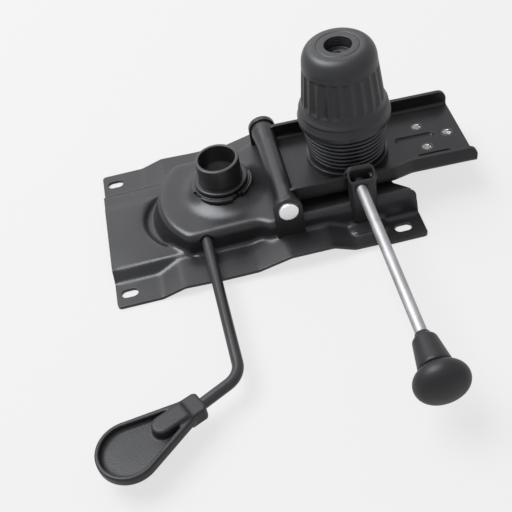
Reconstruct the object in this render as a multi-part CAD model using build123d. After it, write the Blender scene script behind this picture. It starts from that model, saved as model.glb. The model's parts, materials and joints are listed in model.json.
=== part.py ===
from build123d import *
import os
from math import acos, atan2, cos, degrees, pi, radians, sin, sqrt, tan

# Push back mechanism of an office chair, lying upside down on its seat plate.
# Millimetres. The origin is the centre of the four seat bolts, on the face
# that meets the seat. +X runs to the back arm, -Y to the levers, +Z away
# from the seat.

# Clearances
RUN = 0.05            # running fit of a pin in its hole, on the radius
SEAT = 0.3            # gap of a piece that rests on another
WELD = 0.1            # gap round a tube that is welded into a sheet hole

# Seat plate, pressed from sheet
SHEET = 2.5
BOLT_SPACING_X = 210.0
BOLT_SPACING_Y = 125.0
PLATE_FRONT = 115.2   # from the origin to the plain end of the plate
PLATE_BACK = 120.7    # to the end under the back arm
PLATE_HALF = 74.5
EAR_CORNER = 3.0
SLOT_WIDTH = 8.2
SLOT_LENGTH = 13.0
PANEL_TOP = 10.0      # raised middle of the plain end
PANEL_HALF = 43.0
PANEL_STEP = 1.4
PANEL_STEP_IN = 14.5  # from the panel's far flank to its step
GROOVE_FLOOR = 5.5    # crescent pressed in round the dome's nose
GROOVE_RADIUS = 38.6
GROOVE_NOSE = 88.6    # how far from the origin the crescent reaches
GROOVE_HOLLOW = 3.0   # radius of the wall's foot
GROOVE_SHOULDER = 4.0 # and of its rounded top
MOUTH_HALF = 37.0     # half width of the cut-back end, at its bottom
MOUTH_DEPTH = 15.5

# Height of the skirt round the dome: stations along X, then the height there
SKIRT = (
    (-81.2, 2.5), (-63.5, 8.0), (-36.0, 6.6), (-8.0, 6.6), (17.5, 12.9),
    (49.5, 12.6), (65.0, 5.6), (83.0, 5.2), (92.0, 2.5),
)
SKIRT_ROUND = 7.0

# Dome drawn in the plate
DOME_TOP = 25.5
DOME_NOSE = 71.0      # from the origin to the nose of the dome's top
DOME_CORNER = 53.0    # where the nose arc meets the straight side
DOME_HALF = 43.8      # half width round the socket
DOME_WIDE = 49.8      # half width from the pivot to the back
DOME_STEP = 0.5       # where the side starts to widen
DOME_STEP_RUN = 7.0
DRAFT_SIDE = 1.6      # how much wider the foot is at each side
DRAFT_NOSE = 8.5      # how much further the nose's foot reaches
DOME_ROUND = 5.0
CORNER_ROUND = 9.0
STEP_ROUND = 8.0
PAD_HEIGHT = 7.2      # low pad that the lock housing stands on
PAD_OUT = 9.5
PAD_MARGIN = 3.0      # beside the housing
PAD_ASIDE = 2.0       # how far its middle is from the rod
PAD_CORNER = 5.0

# Gas-lift socket
SOCKET_X = -19.2
SOCKET_TOP = 57.2
SOCKET_LEAD = 8.0     # straight stretch at the mouth, above the taper
SOCKET_RADIUS = 16.65
SOCKET_RIM = 0.8      # rounding of its mouth
TAPER_TOP_RADIUS = 14.2
TAPER_BOTTOM_RADIUS = 13.2
NECK_TOP = 31.5       # top of the neck that flares up to the socket
NECK_TOP_RADIUS = 20.5
NECK_FOOT_RADIUS = 37.0
COLLAR_RADIUS = 19.2
COLLAR_HEIGHT = 7.6
COLLAR_LIP = 1.6      # how far the lip at its top stands out
COLLAR_LIP_HEIGHT = 2.8
COLLAR_LIP_ROUND = 1.2
RING_RADIUS = 23.4
RING_WIDTH = 3.0
RING_HEIGHT = 3.6
RING_STEP = 1.0       # how much lower its tabs are
RING_GAP = 1.4
RING_TABS = (25, 115, 205, 295)   # degrees, where the ring is notched

# Pivot
PIVOT_X = 22.4
PIVOT_Z = 38.4
PIVOT_BOLT_RADIUS = 5.0
TUBE_RADIUS = 8.0
TUBE_WALL = 1.7
TUBE_FLARE = 1.2
TUBE_FLARE_LENGTH = 14.0
LUG_SHEET = 4.0
LUG_HALF = 10.75
LUG_NEAR = 49.3       # inner face of the lug at the levers
LUG_FAR = 43.5        # inner face of the other lug
BUSH_NEAR = 1.9       # flange of the bush at the levers
BUSH_FAR = 5.9
BUSH_LENGTH = 16.0
BOLT_HEAD_RADIUS = 7.5
BOLT_HEAD_HEIGHT = 2.8
BOLT_END = 1.0        # how far the bolt stands out of its nut
PIVOT_NUT_FLATS = 15.0
PIVOT_NUT_HEIGHT = 3.5

# Back arm
ARM_SHEET = 3.0
ARM_BOTTOM = 29.3
ARM_HEIGHT = 15.0
ARM_END = 170.8
ARM_HALF = 37.5
ARM_JOGGLE = 4.0      # how far the near flange steps out beside the spring
JOGGLE_START = 106.0
JOGGLE_END = 121.0
ARM_END_ROUND = 7.0
ARM_NOSE = 2.0        # how much lower the flanges are over the tube
ARM_START = 1.5       # from the pivot to the end of its floor
ARM_BEND = 3.2
ARM_SLOPE = 2.0       # degrees, how far the arm falls to the back at rest
SLOPE_X = 90.0        # where the sloping arm has the height given above
ARM_TILT = 12.0       # degrees, the arm's full travel
WELD_NUT_RADIUS = 6.2
WELD_NUT_HEIGHT = 4.5
WELD_NUT_PILOT = 5.0
ARM_THREAD_RADIUS = 3.4
ARM_HOLES = ((139.6, 13.2), (160.0, 0.0), (140.2, -12.2))
ARM_BEADS = ((134.0, 0.5, 30.0), (143.4, -22.8, 26.0))   # middle x, y and length
BEAD_WIDTH = 6.0
BEAD_DEPTH = 1.5

# Tension spring, bolt and knob
SPRING_X = 80.5
SPRING_WIRE = 2.6
SPRING_PITCH = 4.37
SPRING_TURNS = 7.0
SPRING_TOP_RADIUS = 31.0
SPRING_BOTTOM_RADIUS = 29.0
SEAT_WASHER = 6.0
SEAT_SPIGOT = 3.0     # how far the seat stands up inside the spring
SEAT_RIM = 1.0        # how far the seat stands out round the spring
SPIGOT_CLEAR = 0.8    # from the spring to what stands inside it
SPIGOT_WALL = 3.0
TENSION_BOLT_RADIUS = 5.0
TENSION_BOLT_ROOM = 1.0   # round it in the plate's window
ARM_BOLT_ROOM = 1.2   # and in the arm's long hole
TENSION_BOLT_END = 1.0    # how far it stays below the knob's nut at its lowest
SWING_SHARE = 0.5     # share of the arm's tilt that the bolt follows
ANCHOR_Z = 13.0
ANCHOR_PIN_RADIUS = 3.5
ANCHOR_PIN_HEAD = 1.5
ANCHOR_PIN_END = 2.0
ANCHOR_SHEET = 2.5
ANCHOR_GAP = 13.0
ANCHOR_LENGTH = 24.0
ANCHOR_FLANGE = 8.0
EYE_RADIUS = 7.0
CUP_DISC = 2.6
CUP_LIP = 4.0
CUP_LIP_WALL = 2.0
KNOB_RADIUS = 34.7
KNOB_GRIP_TOP_RADIUS = 27.2
KNOB_CROWN_RADIUS = 17.5
KNOB_CROWN_HEIGHT = 13.0
KNOB_CROWN_SHARE = 0.72   # how full the crown's rounding is, sideways
KNOB_CROWN_DROP = 3.4     # and how far it has come down there
KNOB_TOP = 131.8
KNOB_HOLE_RADIUS = 9.9
KNOB_HOLE_DEPTH = 9.0
KNOB_SKIRT_CLEAR = 0.8    # round the spring, inside the skirt
KNOB_FLUTES = 22
KNOB_FLUTE_WIDTH = 4.8
KNOB_FLUTE_DEPTH = 1.1
KNOB_FLUTE_CORNER = 1.2
KNOB_FLUTE_START = 1.0    # above the foot of the grip
KNOB_FLUTE_TOP = 110.0
KNOB_NUT_FLATS = 17.0
KNOB_NUT_HEIGHT = 10.0
KNOB_BOLT_GAP = 0.6
KNOB_TRAVEL_DOWN = 1.5
KNOB_OVERLAP = 5.4    # how far the skirt hangs down past the web

# The knob's side from its skirt to the foot of the grip: how far each corner
# is inside the skirt's radius, and its height over the skirt's lower edge
KNOB_SIDE = (
    (0.8, 0), (0, 1.0), (0, 5.0), (0.5, 6.0), (1.9, 10.6), (1.4, 11.2), (1.7, 12.2), (3.2, 14.2), (4.1, 17.0),
)

# Tilt lock
LOCK_X = 77.6
LOCK_Z = 42.0
LOCK_ROD_RADIUS = 4.0
LOCK_CLEAR = 0.3      # round the rod in the arm's lock holes
HOUSING_WIDTH = 21.0
HOUSING_ASIDE = 1.8   # how far its middle is from the rod
HOUSING_GAP = 1.7     # from the arm's near flange to the housing
HOUSING_DEPTH = 9.8
HOUSING_SHEET = 2.0
HOUSING_BACK = ARM_HALF + ARM_JOGGLE + HOUSING_GAP
HOUSING_FRONT = HOUSING_BACK + HOUSING_DEPTH
HOUSING_CORNER = 4.5
HOUSING_ROOM_CORNER = 1.6
HOUSING_FRONT_TOP = 47.2
HOUSING_BACK_TOP = 57.0
HOUSING_TAB = 5.0     # folded tab beside the rod, at the right
HOUSING_TAB_PROUD = 1.0
GUIDE_RADIUS = 5.0
LOCK_EAR_RADIUS = 9.0
LOCK_HOME = 1.0       # from the housing's back to the rod's inner end
LOCK_BEVEL = 1.0
LOCK_KNOB_START = 191.5
LOCK_STUB_RADIUS = 5.2
LOCK_STUB_LENGTH = 2.2
LOCK_SHOULDER = 5.6   # where the shoulder reaches the neck's radius
LOCK_NECK_LENGTH = 28.0
LOCK_NECK_RADIUS = 8.3
LOCK_NECK_FLARE = 11.4
LOCK_NECK_EDGE = (0.7, 1.5)   # bevel of the flare's end
LOCK_DISC_RADIUS = 18.1
LOCK_DISC_LENGTH = 17.0
LOCK_DISC_ROUND = 4.5
LOCK_GROOVE = 2.5
LOCK_GROOVE_DEPTH = 2.2
LOCK_DOME = 2.6
LOCK_SUNK = 20.0      # how deep the rod goes into the knob

# Gas lever
LEVER_X = -40.5
LEVER_Y = -43.0
LEVER_Z = 18.0
LEVER_SKEW = 1.0      # degrees, the rod leans towards the back arm
LEVER_RADIUS = 4.0
LEVER_BUSH_WALL = 1.4
LEVER_BUSH_LENGTH = 7.0
LEVER_BUSH_SUNK = 0.6 # how far its outer end stays inside the wall
LEVER_INNER = 68.0    # length from the side wall inwards
LEVER_OUTER = 128.7   # length from the side wall to the bend
LEVER_BEND_RADIUS = 17.0
SECOND_LEG = 51.0
SECOND_LEG_ANGLE = 63.0
LEVER_TURN = 7.0      # degrees, the lever's full travel
TAB_SHEET = 3.0
TAB_SINK = 0.4        # how far the tab lets the rod in
TAB_CLEAR = 0.5
TAB_REACH = 29.0
TAB_WIDTH = 12.0
TAB_CORNER = 3.0
LEVER_PAST = 6.0      # how far the rod reaches past its bracket
LEVER_BRACKET_AT = LEVER_INNER - LEVER_PAST
LEVER_BRACKET_SHEET = 2.5
LEVER_BRACKET_WIDTH = 16.0
LEVER_BRACKET_FLANGE = 10.0
LEVER_BRACKET_DROP = 7.0  # how far it reaches below the rod's middle
CLIP_THICKNESS = 1.2
CLIP_RADIUS = 4.8
PADDLE_THICKNESS = 8.5
PADDLE_LOW = -3.0     # underside, from the rod's middle
PADDLE_RADIUS = 21.2
PADDLE_LENGTH = 47.6  # neck to the middle of the dish
PADDLE_NECK_HALF = 7.2
PADDLE_RIM = 3.0
PADDLE_DISH = 5.0
PADDLE_ROUND = 2.5    # of its lower edge
PADDLE_EDGE = 1.0     # of its upper edge
PADDLE_DISH_ROUND = 2.5
PADDLE_TURN = 3.2     # degrees between the second leg and the paddle
PADDLE_OVER = 12.0    # how far the rod reaches into the paddle
BOSS_START = 4.0
BOSS_LENGTH = 25.0
BOSS_HALF = 6.8
BOSS_RISE = 2.8
BOSS_ROUND = 1.8
BOSS_LOW = -5.4       # its underside, from the rod's middle
NECK_BLOCK = (-7.4, 6.0)   # squared block round the rod, along the paddle
NECK_BLOCK_HALF = 7.9
NECK_BLOCK_RISE = 0.8
NECK_BLOCK_BEVEL = 2.0

# Stop pads under the arm
PAD_RADIUS = 8.0
PAD_X = 98.0
PAD_Y = 26.0

FAR_OUT = 200.0       # past every edge, for cuts that run right through
PAST = 1.0            # how far a cut starts outside the sheet it goes through


def write(name, shape):
    """Write one sub-part and tell its size."""
    export_step(shape, f"parts/{name}.step")
    box = shape.bounding_box().size
    print(f"{name:18s} {box.X:7.1f} {box.Y:7.1f} {box.Z:7.1f}")


def one(shape):
    """The single solid of a result that comes as a list or a compound."""
    return shape.solids()[0]


def rod(radius, length, start, direction):
    """A cylinder that starts at a point and runs along a direction."""
    plane = Plane(origin=start, z_dir=direction)
    return plane * Cylinder(radius, length, align=(Align.CENTER, Align.CENTER, Align.MIN))


def ring(outer, inner, length, start, direction):
    """A cylinder with a round bore."""
    return rod(outer, length, start, direction) - rod(inner, length, start, direction)


def hexagon(flats, length, start, direction):
    """A hexagonal bar, measured across its flats."""
    plane = Plane(origin=start, z_dir=direction)
    return plane * extrude(RegularPolygon(flats / sqrt(3), 6), length)


def box_between(low, high):
    """A box from its lowest to its highest corner."""
    size = [high[i] - low[i] for i in range(3)]
    middle = [(high[i] + low[i]) / 2 for i in range(3)]
    return Pos(*middle) * Box(*size)


def revolved(points, axis_plane=Plane.XZ):
    """Turn an outline of (radius, height) points about the plane's own Y axis."""
    face = make_face(Polyline(*points, close=True))
    return revolve(axis_plane * face, Axis(axis_plane.origin, axis_plane.y_dir))


# Seat plate

def skirt_form(depth):
    """The skirt and the ears, as the space under a surface at this depth."""
    low = -3 * SHEET
    top = [(-FAR_OUT, SHEET - depth)]
    top += [(x, z - depth) for x, z in SKIRT]
    top += [(FAR_OUT, SHEET - depth)]
    rounded = FilletPolyline(*top, radius=SKIRT_ROUND)
    rest = Polyline((FAR_OUT, SHEET - depth), (FAR_OUT, low), (-FAR_OUT, low), (-FAR_OUT, SHEET - depth))
    face = make_face(Plane.XZ * (rounded + rest))
    return one(extrude(face, FAR_OUT / 2, both=True))


def panel_form(depth):
    """The raised middle of the plain end, with its 45 degree flanks."""
    shift = depth * tan(pi / 8)
    half = PANEL_HALF - shift
    top = PANEL_TOP - depth
    low = -3 * SHEET
    drop = top - low
    step_in = PANEL_HALF - PANEL_STEP_IN - shift
    step_out = step_in - 2 * PANEL_STEP
    points = (
        (-half - drop, low), (-half, top), (step_out, top), (step_in, top - PANEL_STEP),
        (half - PANEL_STEP, top - PANEL_STEP), (half + drop, low),
    )
    outline = Plane.YZ.offset(-FAR_OUT) * make_face(Polyline(*points, close=True))
    return one(extrude(outline, FAR_OUT - DOME_CORNER))


def groove_form(depth):
    """The crescent pressed into the panel round the dome's nose, with a soft shoulder."""
    lower = GROOVE_HOLLOW + depth
    upper = GROOVE_SHOULDER - depth
    turn = acos(1 - (PANEL_TOP - GROOVE_FLOOR) / (lower + upper))
    flat = GROOVE_RADIUS - (lower + upper) * sin(turn)
    floor = GROOVE_FLOOR - depth
    top = PANEL_TOP - depth
    wall = CenterArc((flat, floor + lower), lower, -90, degrees(turn))
    wall += CenterArc((GROOVE_RADIUS, top - upper), upper, 90 + degrees(turn), -degrees(turn))
    outline = Polyline((flat, floor), (0, floor), (0, FAR_OUT), (GROOVE_RADIUS, FAR_OUT), (GROOVE_RADIUS, top))
    face = Plane.XZ * make_face(outline + wall)
    return Pos(GROOVE_RADIUS - GROOVE_NOSE, 0, 0) * one(revolve(face, Axis.Z))


def dome_outline(side_out, nose_out, depth):
    """The dome's plan at one height, drawn in by the depth."""
    half = DOME_HALF + side_out - depth
    wide = DOME_WIDE + side_out - depth
    nose = -(DOME_NOSE + nose_out - depth)
    corner = -(DOME_CORNER + side_out - depth)
    step = DOME_STEP + depth / 2
    side = [(corner, half), (step, half), (step + DOME_STEP_RUN, wide), (FAR_OUT, wide)]
    below = [(x, -y) for x, y in reversed(side)]
    outline = ThreePointArc((corner, -half), (nose, 0), (corner, half))
    outline += Polyline(*side) + Line((FAR_OUT, wide), (FAR_OUT, -wide)) + Polyline(*below)
    face = make_face(outline)
    face = fillet(face.vertices().filter_by(lambda v: abs(v.X - corner) < 0.01), CORNER_ROUND)
    steps = face.vertices().filter_by(lambda v: step - 0.01 < v.X < step + DOME_STEP_RUN + 0.01)
    return fillet(steps, STEP_ROUND)


def dome_form(depth):
    """The drawn dome, from below the seat face up to its flat top."""
    low = -3 * SHEET
    top = DOME_TOP - depth
    slope = (DOME_TOP - low) / DOME_TOP
    foot = Pos(0, 0, low) * dome_outline(DRAFT_SIDE * slope, DRAFT_NOSE * slope, depth)
    crown = Pos(0, 0, top) * dome_outline(0, 0, depth)
    block = one(loft([foot.faces()[0], crown.faces()[0]], ruled=True))
    rim = block.edges().filter_by(lambda e: abs(e.center().Z - top) < 0.01 and e.center().X < FAR_OUT - 1)
    return one(fillet(rim, DOME_ROUND - depth))


def neck_form(depth):
    """The neck that flares up from the dome's top to the socket."""
    base = DOME_TOP - depth
    top = NECK_TOP - depth
    inner = NECK_TOP_RADIUS - depth
    outer = NECK_FOOT_RADIUS - depth / 2
    run = outer - inner
    rise = top - base
    bend = (run * run + rise * rise) / (2 * rise)
    half_turn = atan2(run, bend - rise) / 2
    middle = (outer - bend * sin(half_turn), base + bend * (1 - cos(half_turn)))
    low = base - 2 * SHEET
    outline = Polyline((outer, base), (outer, low), (0, low), (0, top), (inner, top))
    outline += ThreePointArc((inner, top), middle, (outer, base))
    face = Plane.XZ * make_face(outline)
    return Pos(SOCKET_X, 0, 0) * one(revolve(face, Axis.Z))


def pad_form(depth):
    """The low pad in the skirt that the lock housing stands on."""
    half = HOUSING_WIDTH / 2 + PAD_MARGIN - depth
    reach = HOUSING_FRONT + PAD_OUT - depth
    outline = Pos(LOCK_X + PAD_ASIDE, -reach / 2) * RectangleRounded(2 * half, reach, PAD_CORNER - depth)
    return one(extrude(Pos(0, 0, -3 * SHEET) * outline, PAD_HEIGHT - depth + 3 * SHEET))


def pressed_form(depth):
    """Everything under the plate's upper surface, drawn in by the depth."""
    form = panel_form(depth) - groove_form(depth)
    form += skirt_form(depth)
    form += dome_form(depth)
    form += neck_form(depth)
    form += pad_form(depth)
    return form


def plate_outline():
    """The blank's plan, with the end under the arm cut back between its ears."""
    half = DOME_WIDE + DRAFT_SIDE
    points = (
        (-PLATE_FRONT, -PLATE_HALF), (PLATE_BACK, -PLATE_HALF), (PLATE_BACK, -half),
        (PLATE_BACK - MOUTH_DEPTH, -MOUTH_HALF), (PLATE_BACK - MOUTH_DEPTH, MOUTH_HALF),
        (PLATE_BACK, half), (PLATE_BACK, PLATE_HALF), (-PLATE_FRONT, PLATE_HALF),
    )
    face = make_face(Polyline(*points, close=True))
    return fillet(face.vertices(), EAR_CORNER)


def lever_frame(along):
    """A plane across the lever rod, at a length outwards from the side wall."""
    lean = radians(LEVER_SKEW)
    way = Vector(sin(lean), -cos(lean), 0)
    start = Vector(LEVER_X, LEVER_Y, LEVER_Z) + way * along
    return Plane(origin=start, z_dir=way)


def bolt_slot(width, length, x, y, low, high):
    """A slotted hole along X."""
    return Pos(x, y, low) * extrude(SlotOverall(length, width), high - low)


def anchor_window():
    """Opening in the dome's top for the tension bolt and its swing."""
    swing = (DOME_TOP - ANCHOR_Z) * tan(radians(ARM_TILT * SWING_SHARE))
    width = 2 * (TENSION_BOLT_RADIUS + TENSION_BOLT_ROOM)
    length = width + 2 * swing
    return bolt_slot(width, length, SPRING_X, 0, ANCHOR_Z, DOME_TOP + PAST)


def seat_plate(outer):
    inner = pressed_form(SHEET)
    blank = extrude(plate_outline(), FAR_OUT)
    plate = (outer - inner) & blank
    plate -= Pos(SOCKET_X, 0, 0) * Cylinder(SOCKET_RADIUS + WELD, FAR_OUT)
    plate -= anchor_window()
    plate -= lever_frame(0) * Cylinder(LEVER_RADIUS + LEVER_BUSH_WALL + WELD, 8 * SHEET)
    for x in (-BOLT_SPACING_X / 2, BOLT_SPACING_X / 2):
        for y in (-BOLT_SPACING_Y / 2, BOLT_SPACING_Y / 2):
            plate -= bolt_slot(SLOT_WIDTH, SLOT_LENGTH, x, y, -PAST, SHEET + PAST)
    return one(plate)


# Gas-lift socket

def tab_top():
    return LEVER_Z - LEVER_RADIUS + TAB_SINK


def socket_bottom():
    """Low end of the socket, clear of the lever's tab at full travel."""
    rod_x = lever_frame(LEVER_Y).origin.X
    reach = SOCKET_X - TAPER_BOTTOM_RADIUS - rod_x
    return tab_top() + reach * tan(radians(LEVER_TURN)) + TAB_CLEAR


def taper_socket():
    """Tube welded into the neck, with the taper that the gas lift sits in."""
    low = socket_bottom()
    up = (0, 0, 1)
    tube = rod(SOCKET_RADIUS, SOCKET_TOP - low, (SOCKET_X, 0, low), up)
    tube -= rod(TAPER_TOP_RADIUS, SOCKET_LEAD, (SOCKET_X, 0, SOCKET_TOP - SOCKET_LEAD), up)
    tube -= Pos(SOCKET_X, 0, low) * Cone(
        TAPER_BOTTOM_RADIUS, TAPER_TOP_RADIUS, SOCKET_TOP - SOCKET_LEAD - low,
        align=(Align.CENTER, Align.CENTER, Align.MIN))
    rim = tube.edges().filter_by(GeomType.CIRCLE).filter_by(
        lambda e: abs(e.center().Z - SOCKET_TOP) < 0.01 and e.radius > TAPER_TOP_RADIUS + 1)
    return one(fillet(rim, SOCKET_RIM))


def socket_collar():
    """Welded collar where the socket stands in the neck, with a rounded lip."""
    inner = SOCKET_RADIUS + WELD
    lip = COLLAR_RADIUS + COLLAR_LIP
    top = NECK_TOP + COLLAR_HEIGHT
    points = (
        (inner, NECK_TOP), (COLLAR_RADIUS, NECK_TOP), (COLLAR_RADIUS, top - COLLAR_LIP_HEIGHT),
        (lip, top - COLLAR_LIP_HEIGHT), (lip, top), (inner, top),
    )
    collar = Pos(SOCKET_X, 0, 0) * revolved(points)
    rims = collar.edges().filter_by(GeomType.CIRCLE).filter_by(lambda e: e.radius > lip - 0.01)
    return one(fillet(rims, COLLAR_LIP_ROUND))


def socket_ring():
    """Split ring with tabs, round the collar and under its lip."""
    start = Vector(SOCKET_X, 0, NECK_TOP + SEAT)
    height = RING_HEIGHT
    body = ring(RING_RADIUS - RING_WIDTH / 2, COLLAR_RADIUS + WELD, height, start, (0, 0, 1))
    lips = ring(RING_RADIUS, RING_RADIUS - RING_WIDTH, height - RING_STEP, start, (0, 0, 1))
    for turn in RING_TABS:
        notch = Pos(*start) * Rot(0, 0, turn) * Pos(RING_RADIUS, 0, 0)
        lips -= notch * Box(2 * RING_WIDTH, 3 * RING_WIDTH, 3 * height)
    body += lips
    body -= Pos(*start) * Rot(0, 0, RING_TABS[3]) * Pos(RING_RADIUS, 0, 0) * Box(
        4 * RING_WIDTH, RING_GAP, 3 * height)
    return one(body)


# Pivot

def lug_inner(side):
    """Distance of a lug's inner face: side is -1 at the levers, 1 at the far side."""
    return LUG_NEAR if side < 0 else LUG_FAR


def lug_face(side):
    return lug_inner(side) + LUG_SHEET


def bush_flange(side):
    return BUSH_NEAR if side < 0 else BUSH_FAR


def tube_end(side):
    return lug_inner(side) - SEAT - bush_flange(side)


def pivot_lug(side, outer):
    """Lug welded to the dome, with the pivot bolt's hole."""
    outline = Rectangle(2 * LUG_HALF, PIVOT_Z, align=(Align.CENTER, Align.MIN))
    outline += Pos(0, PIVOT_Z) * Circle(LUG_HALF)
    outline -= Pos(0, PIVOT_Z) * Circle(PIVOT_BOLT_RADIUS + RUN)
    plane = Plane(origin=(PIVOT_X, side * lug_inner(side), 0), x_dir=(1, 0, 0), z_dir=(0, -1, 0))
    lug = plane * extrude(outline, -side * LUG_SHEET)
    return max((lug - outer).solids(), key=lambda s: s.bounding_box().max.Z)


def tube_form(bore):
    """The tube from end to end, solid where the bore is nothing."""
    near = -tube_end(-1)
    far = tube_end(1)
    flare = TUBE_RADIUS + TUBE_FLARE
    points = (
        (bore, near), (flare, near), (TUBE_RADIUS, near + TUBE_FLARE_LENGTH),
        (TUBE_RADIUS, far - TUBE_FLARE_LENGTH), (flare, far), (bore, far),
    )
    plane = Plane(origin=(PIVOT_X, 0, PIVOT_Z), x_dir=(1, 0, 0), z_dir=(0, 0, 1))
    return one(revolved(points, plane))


def pivot_tube():
    """Tube welded to the arm, flared a little at both ends."""
    return tube_form(TUBE_RADIUS - TUBE_WALL)


def pivot_bushes():
    """A flanged bush in each end of the tube."""
    bushes = []
    for side in (-1, 1):
        face = (PIVOT_X, side * (lug_inner(side) - SEAT), PIVOT_Z)
        inward = (0, -side, 0)
        bush = rod(TUBE_RADIUS + TUBE_FLARE, bush_flange(side), face, inward)
        bush += rod(TUBE_RADIUS - TUBE_WALL - RUN, BUSH_LENGTH, face, inward)
        bush -= rod(PIVOT_BOLT_RADIUS + RUN, BUSH_LENGTH, face, inward)
        bushes.append(one(bush))
    return Compound(bushes)


def pivot_bolt():
    """Bolt with a low round head at the lever side."""
    face = Vector(PIVOT_X, -lug_face(-1), PIVOT_Z)
    head = rod(BOLT_HEAD_RADIUS, BOLT_HEAD_HEIGHT, face, (0, -1, 0))
    rim = head.edges().filter_by(GeomType.CIRCLE).sort_by(Axis.Y)[0]
    head = fillet(rim, BOLT_HEAD_HEIGHT / 3)
    length = lug_face(-1) + lug_face(1) + PIVOT_NUT_HEIGHT + BOLT_END
    return one(head + rod(PIVOT_BOLT_RADIUS, length, face, (0, 1, 0)))


def pivot_nut():
    """Low nut on the far lug."""
    face = (PIVOT_X, lug_face(1), PIVOT_Z)
    nut = hexagon(PIVOT_NUT_FLATS, PIVOT_NUT_HEIGHT, face, (0, 1, 0))
    return one(nut - rod(PIVOT_BOLT_RADIUS + RUN, PIVOT_NUT_HEIGHT, face, (0, 1, 0)))


# Back arm

def sloped(shape):
    """Turn a shape drawn level into the arm's slope at rest."""
    pivot = Pos(SLOPE_X, 0, ARM_BOTTOM)
    return pivot * Rot(0, ARM_SLOPE, 0) * Pos(-SLOPE_X, 0, -ARM_BOTTOM) * shape


def tilted_back(x, z, angle):
    """Where a point of the mechanism lies in the arm, once the arm has tilted."""
    turn = radians(angle)
    across, up = x - PIVOT_X, z - PIVOT_Z
    return PIVOT_X + across * cos(turn) + up * sin(turn), PIVOT_Z - across * sin(turn) + up * cos(turn)


def arm_plan(inset):
    """Plan of the arm, drawn in at both flanges."""
    near = ARM_HALF + ARM_JOGGLE - inset
    slim = ARM_HALF - inset
    points = (
        (0, -near), (JOGGLE_START, -near), (JOGGLE_END, -slim), (ARM_END + 2 * inset, -slim),
        (ARM_END + 2 * inset, slim), (0, slim),
    )
    return make_face(Polyline(*points, close=True))


def arm_side():
    """The arm seen from the side: rounded flange ends, lower over the tube."""
    top = ARM_BOTTOM + ARM_HEIGHT
    points = (
        (0, ARM_BOTTOM), (ARM_END, ARM_BOTTOM), (ARM_END, top), (PIVOT_X + TUBE_RADIUS, top),
        (PIVOT_X, top - ARM_NOSE), (0, top - ARM_NOSE),
    )
    face = make_face(Plane.XZ * Polyline(*points, close=True))
    end = face.vertices().filter_by(lambda v: v.X > ARM_END - 0.01 and v.Z > top - 0.01)
    return extrude(fillet(end, ARM_END_ROUND), FAR_OUT / 2, both=True)


def lock_holes():
    """Room for the lock rod in the arm: upright, and at the arm's full tilt."""
    flange = ARM_HALF + ARM_JOGGLE
    deep = 2 * ARM_SHEET + PAST
    size = LOCK_ROD_RADIUS + 2 * LOCK_CLEAR
    start = -flange - PAST
    holes = rod(size, deep, (LOCK_X, start, LOCK_Z), (0, 1, 0))
    holes += box_between((LOCK_X - size, start, LOCK_Z), (LOCK_X + size, start + deep, LOCK_Z + FAR_OUT))
    x, z = tilted_back(LOCK_X, LOCK_Z, ARM_TILT)
    holes += rod(LOCK_ROD_RADIUS + LOCK_CLEAR, deep + 2 * PAST, (x, start, z), (0, 1, 0))
    return holes


def bolt_opening():
    """Long hole in the arm's floor, so the arm can rise along the bolt."""
    floor_rise = (SPRING_X - PIVOT_X) * sin(radians(ARM_TILT))
    lean = (ARM_BOTTOM + floor_rise - ANCHOR_Z) * tan(radians(ARM_TILT * SWING_SHARE))
    width = 2 * (TENSION_BOLT_RADIUS + ARM_BOLT_ROOM)
    length = width + lean + 2 * ARM_BOLT_ROOM
    return bolt_slot(width, length, SPRING_X - lean / 2, 0, ARM_BOTTOM - 2 * PAST, FAR_OUT)


def tilt_arm():
    """Channel from the pivot tube to the back bar, with beads in its floor."""
    floor = ARM_BOTTOM + ARM_SHEET
    body = extrude(Pos(0, 0, ARM_BOTTOM) * arm_plan(0), ARM_HEIGHT)
    low = body.edges().filter_by(lambda e: abs(e.center().Z - ARM_BOTTOM) < 0.01
                                 and abs(e.center().Y) > ARM_HALF - 1)
    body = fillet(low, ARM_BEND + ARM_SHEET / 2)
    room = extrude(Pos(0, 0, floor) * arm_plan(ARM_SHEET), FAR_OUT)
    low = room.edges().filter_by(lambda e: abs(e.center().Z - floor) < 0.01
                                 and abs(e.center().Y) > ARM_HALF - ARM_SHEET - 1)
    body -= fillet(low, ARM_BEND - ARM_SHEET / 2)
    arm = body & arm_side()
    for x, y in ARM_HOLES:
        arm -= Pos(x, y, ARM_BOTTOM) * Cylinder(WELD_NUT_PILOT, FAR_OUT)
    for x, y, length in ARM_BEADS:
        bead = extrude(SlotOverall(length, BEAD_WIDTH), BEAD_DEPTH, taper=-20)
        arm -= Pos(x, y, floor - BEAD_DEPTH) * bead
    arm = sloped(arm)
    arm -= tube_form(0)
    arm -= rod(TUBE_RADIUS + TUBE_FLARE + SEAT, LUG_SHEET, (PIVOT_X, tube_end(1), PIVOT_Z), (0, 1, 0))
    arm -= box_between((-FAR_OUT, -FAR_OUT, 0), (PIVOT_X + ARM_START, FAR_OUT, FAR_OUT))
    arm -= lock_holes()
    arm -= bolt_opening()
    return max(arm.solids(), key=lambda s: s.volume)


def arm_weld_nuts():
    """Round weld nuts under the arm's floor, with pilots through it."""
    nuts = []
    for x, y in ARM_HOLES:
        nut = rod(WELD_NUT_RADIUS, WELD_NUT_HEIGHT, (x, y, ARM_BOTTOM), (0, 0, -1))
        nut += rod(WELD_NUT_PILOT - WELD, ARM_SHEET, (x, y, ARM_BOTTOM), (0, 0, 1))
        nut -= Pos(x, y, ARM_BOTTOM) * Cylinder(ARM_THREAD_RADIUS, 4 * WELD_NUT_HEIGHT)
        nuts.append(one(sloped(nut)))
    return Compound(nuts)


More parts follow.
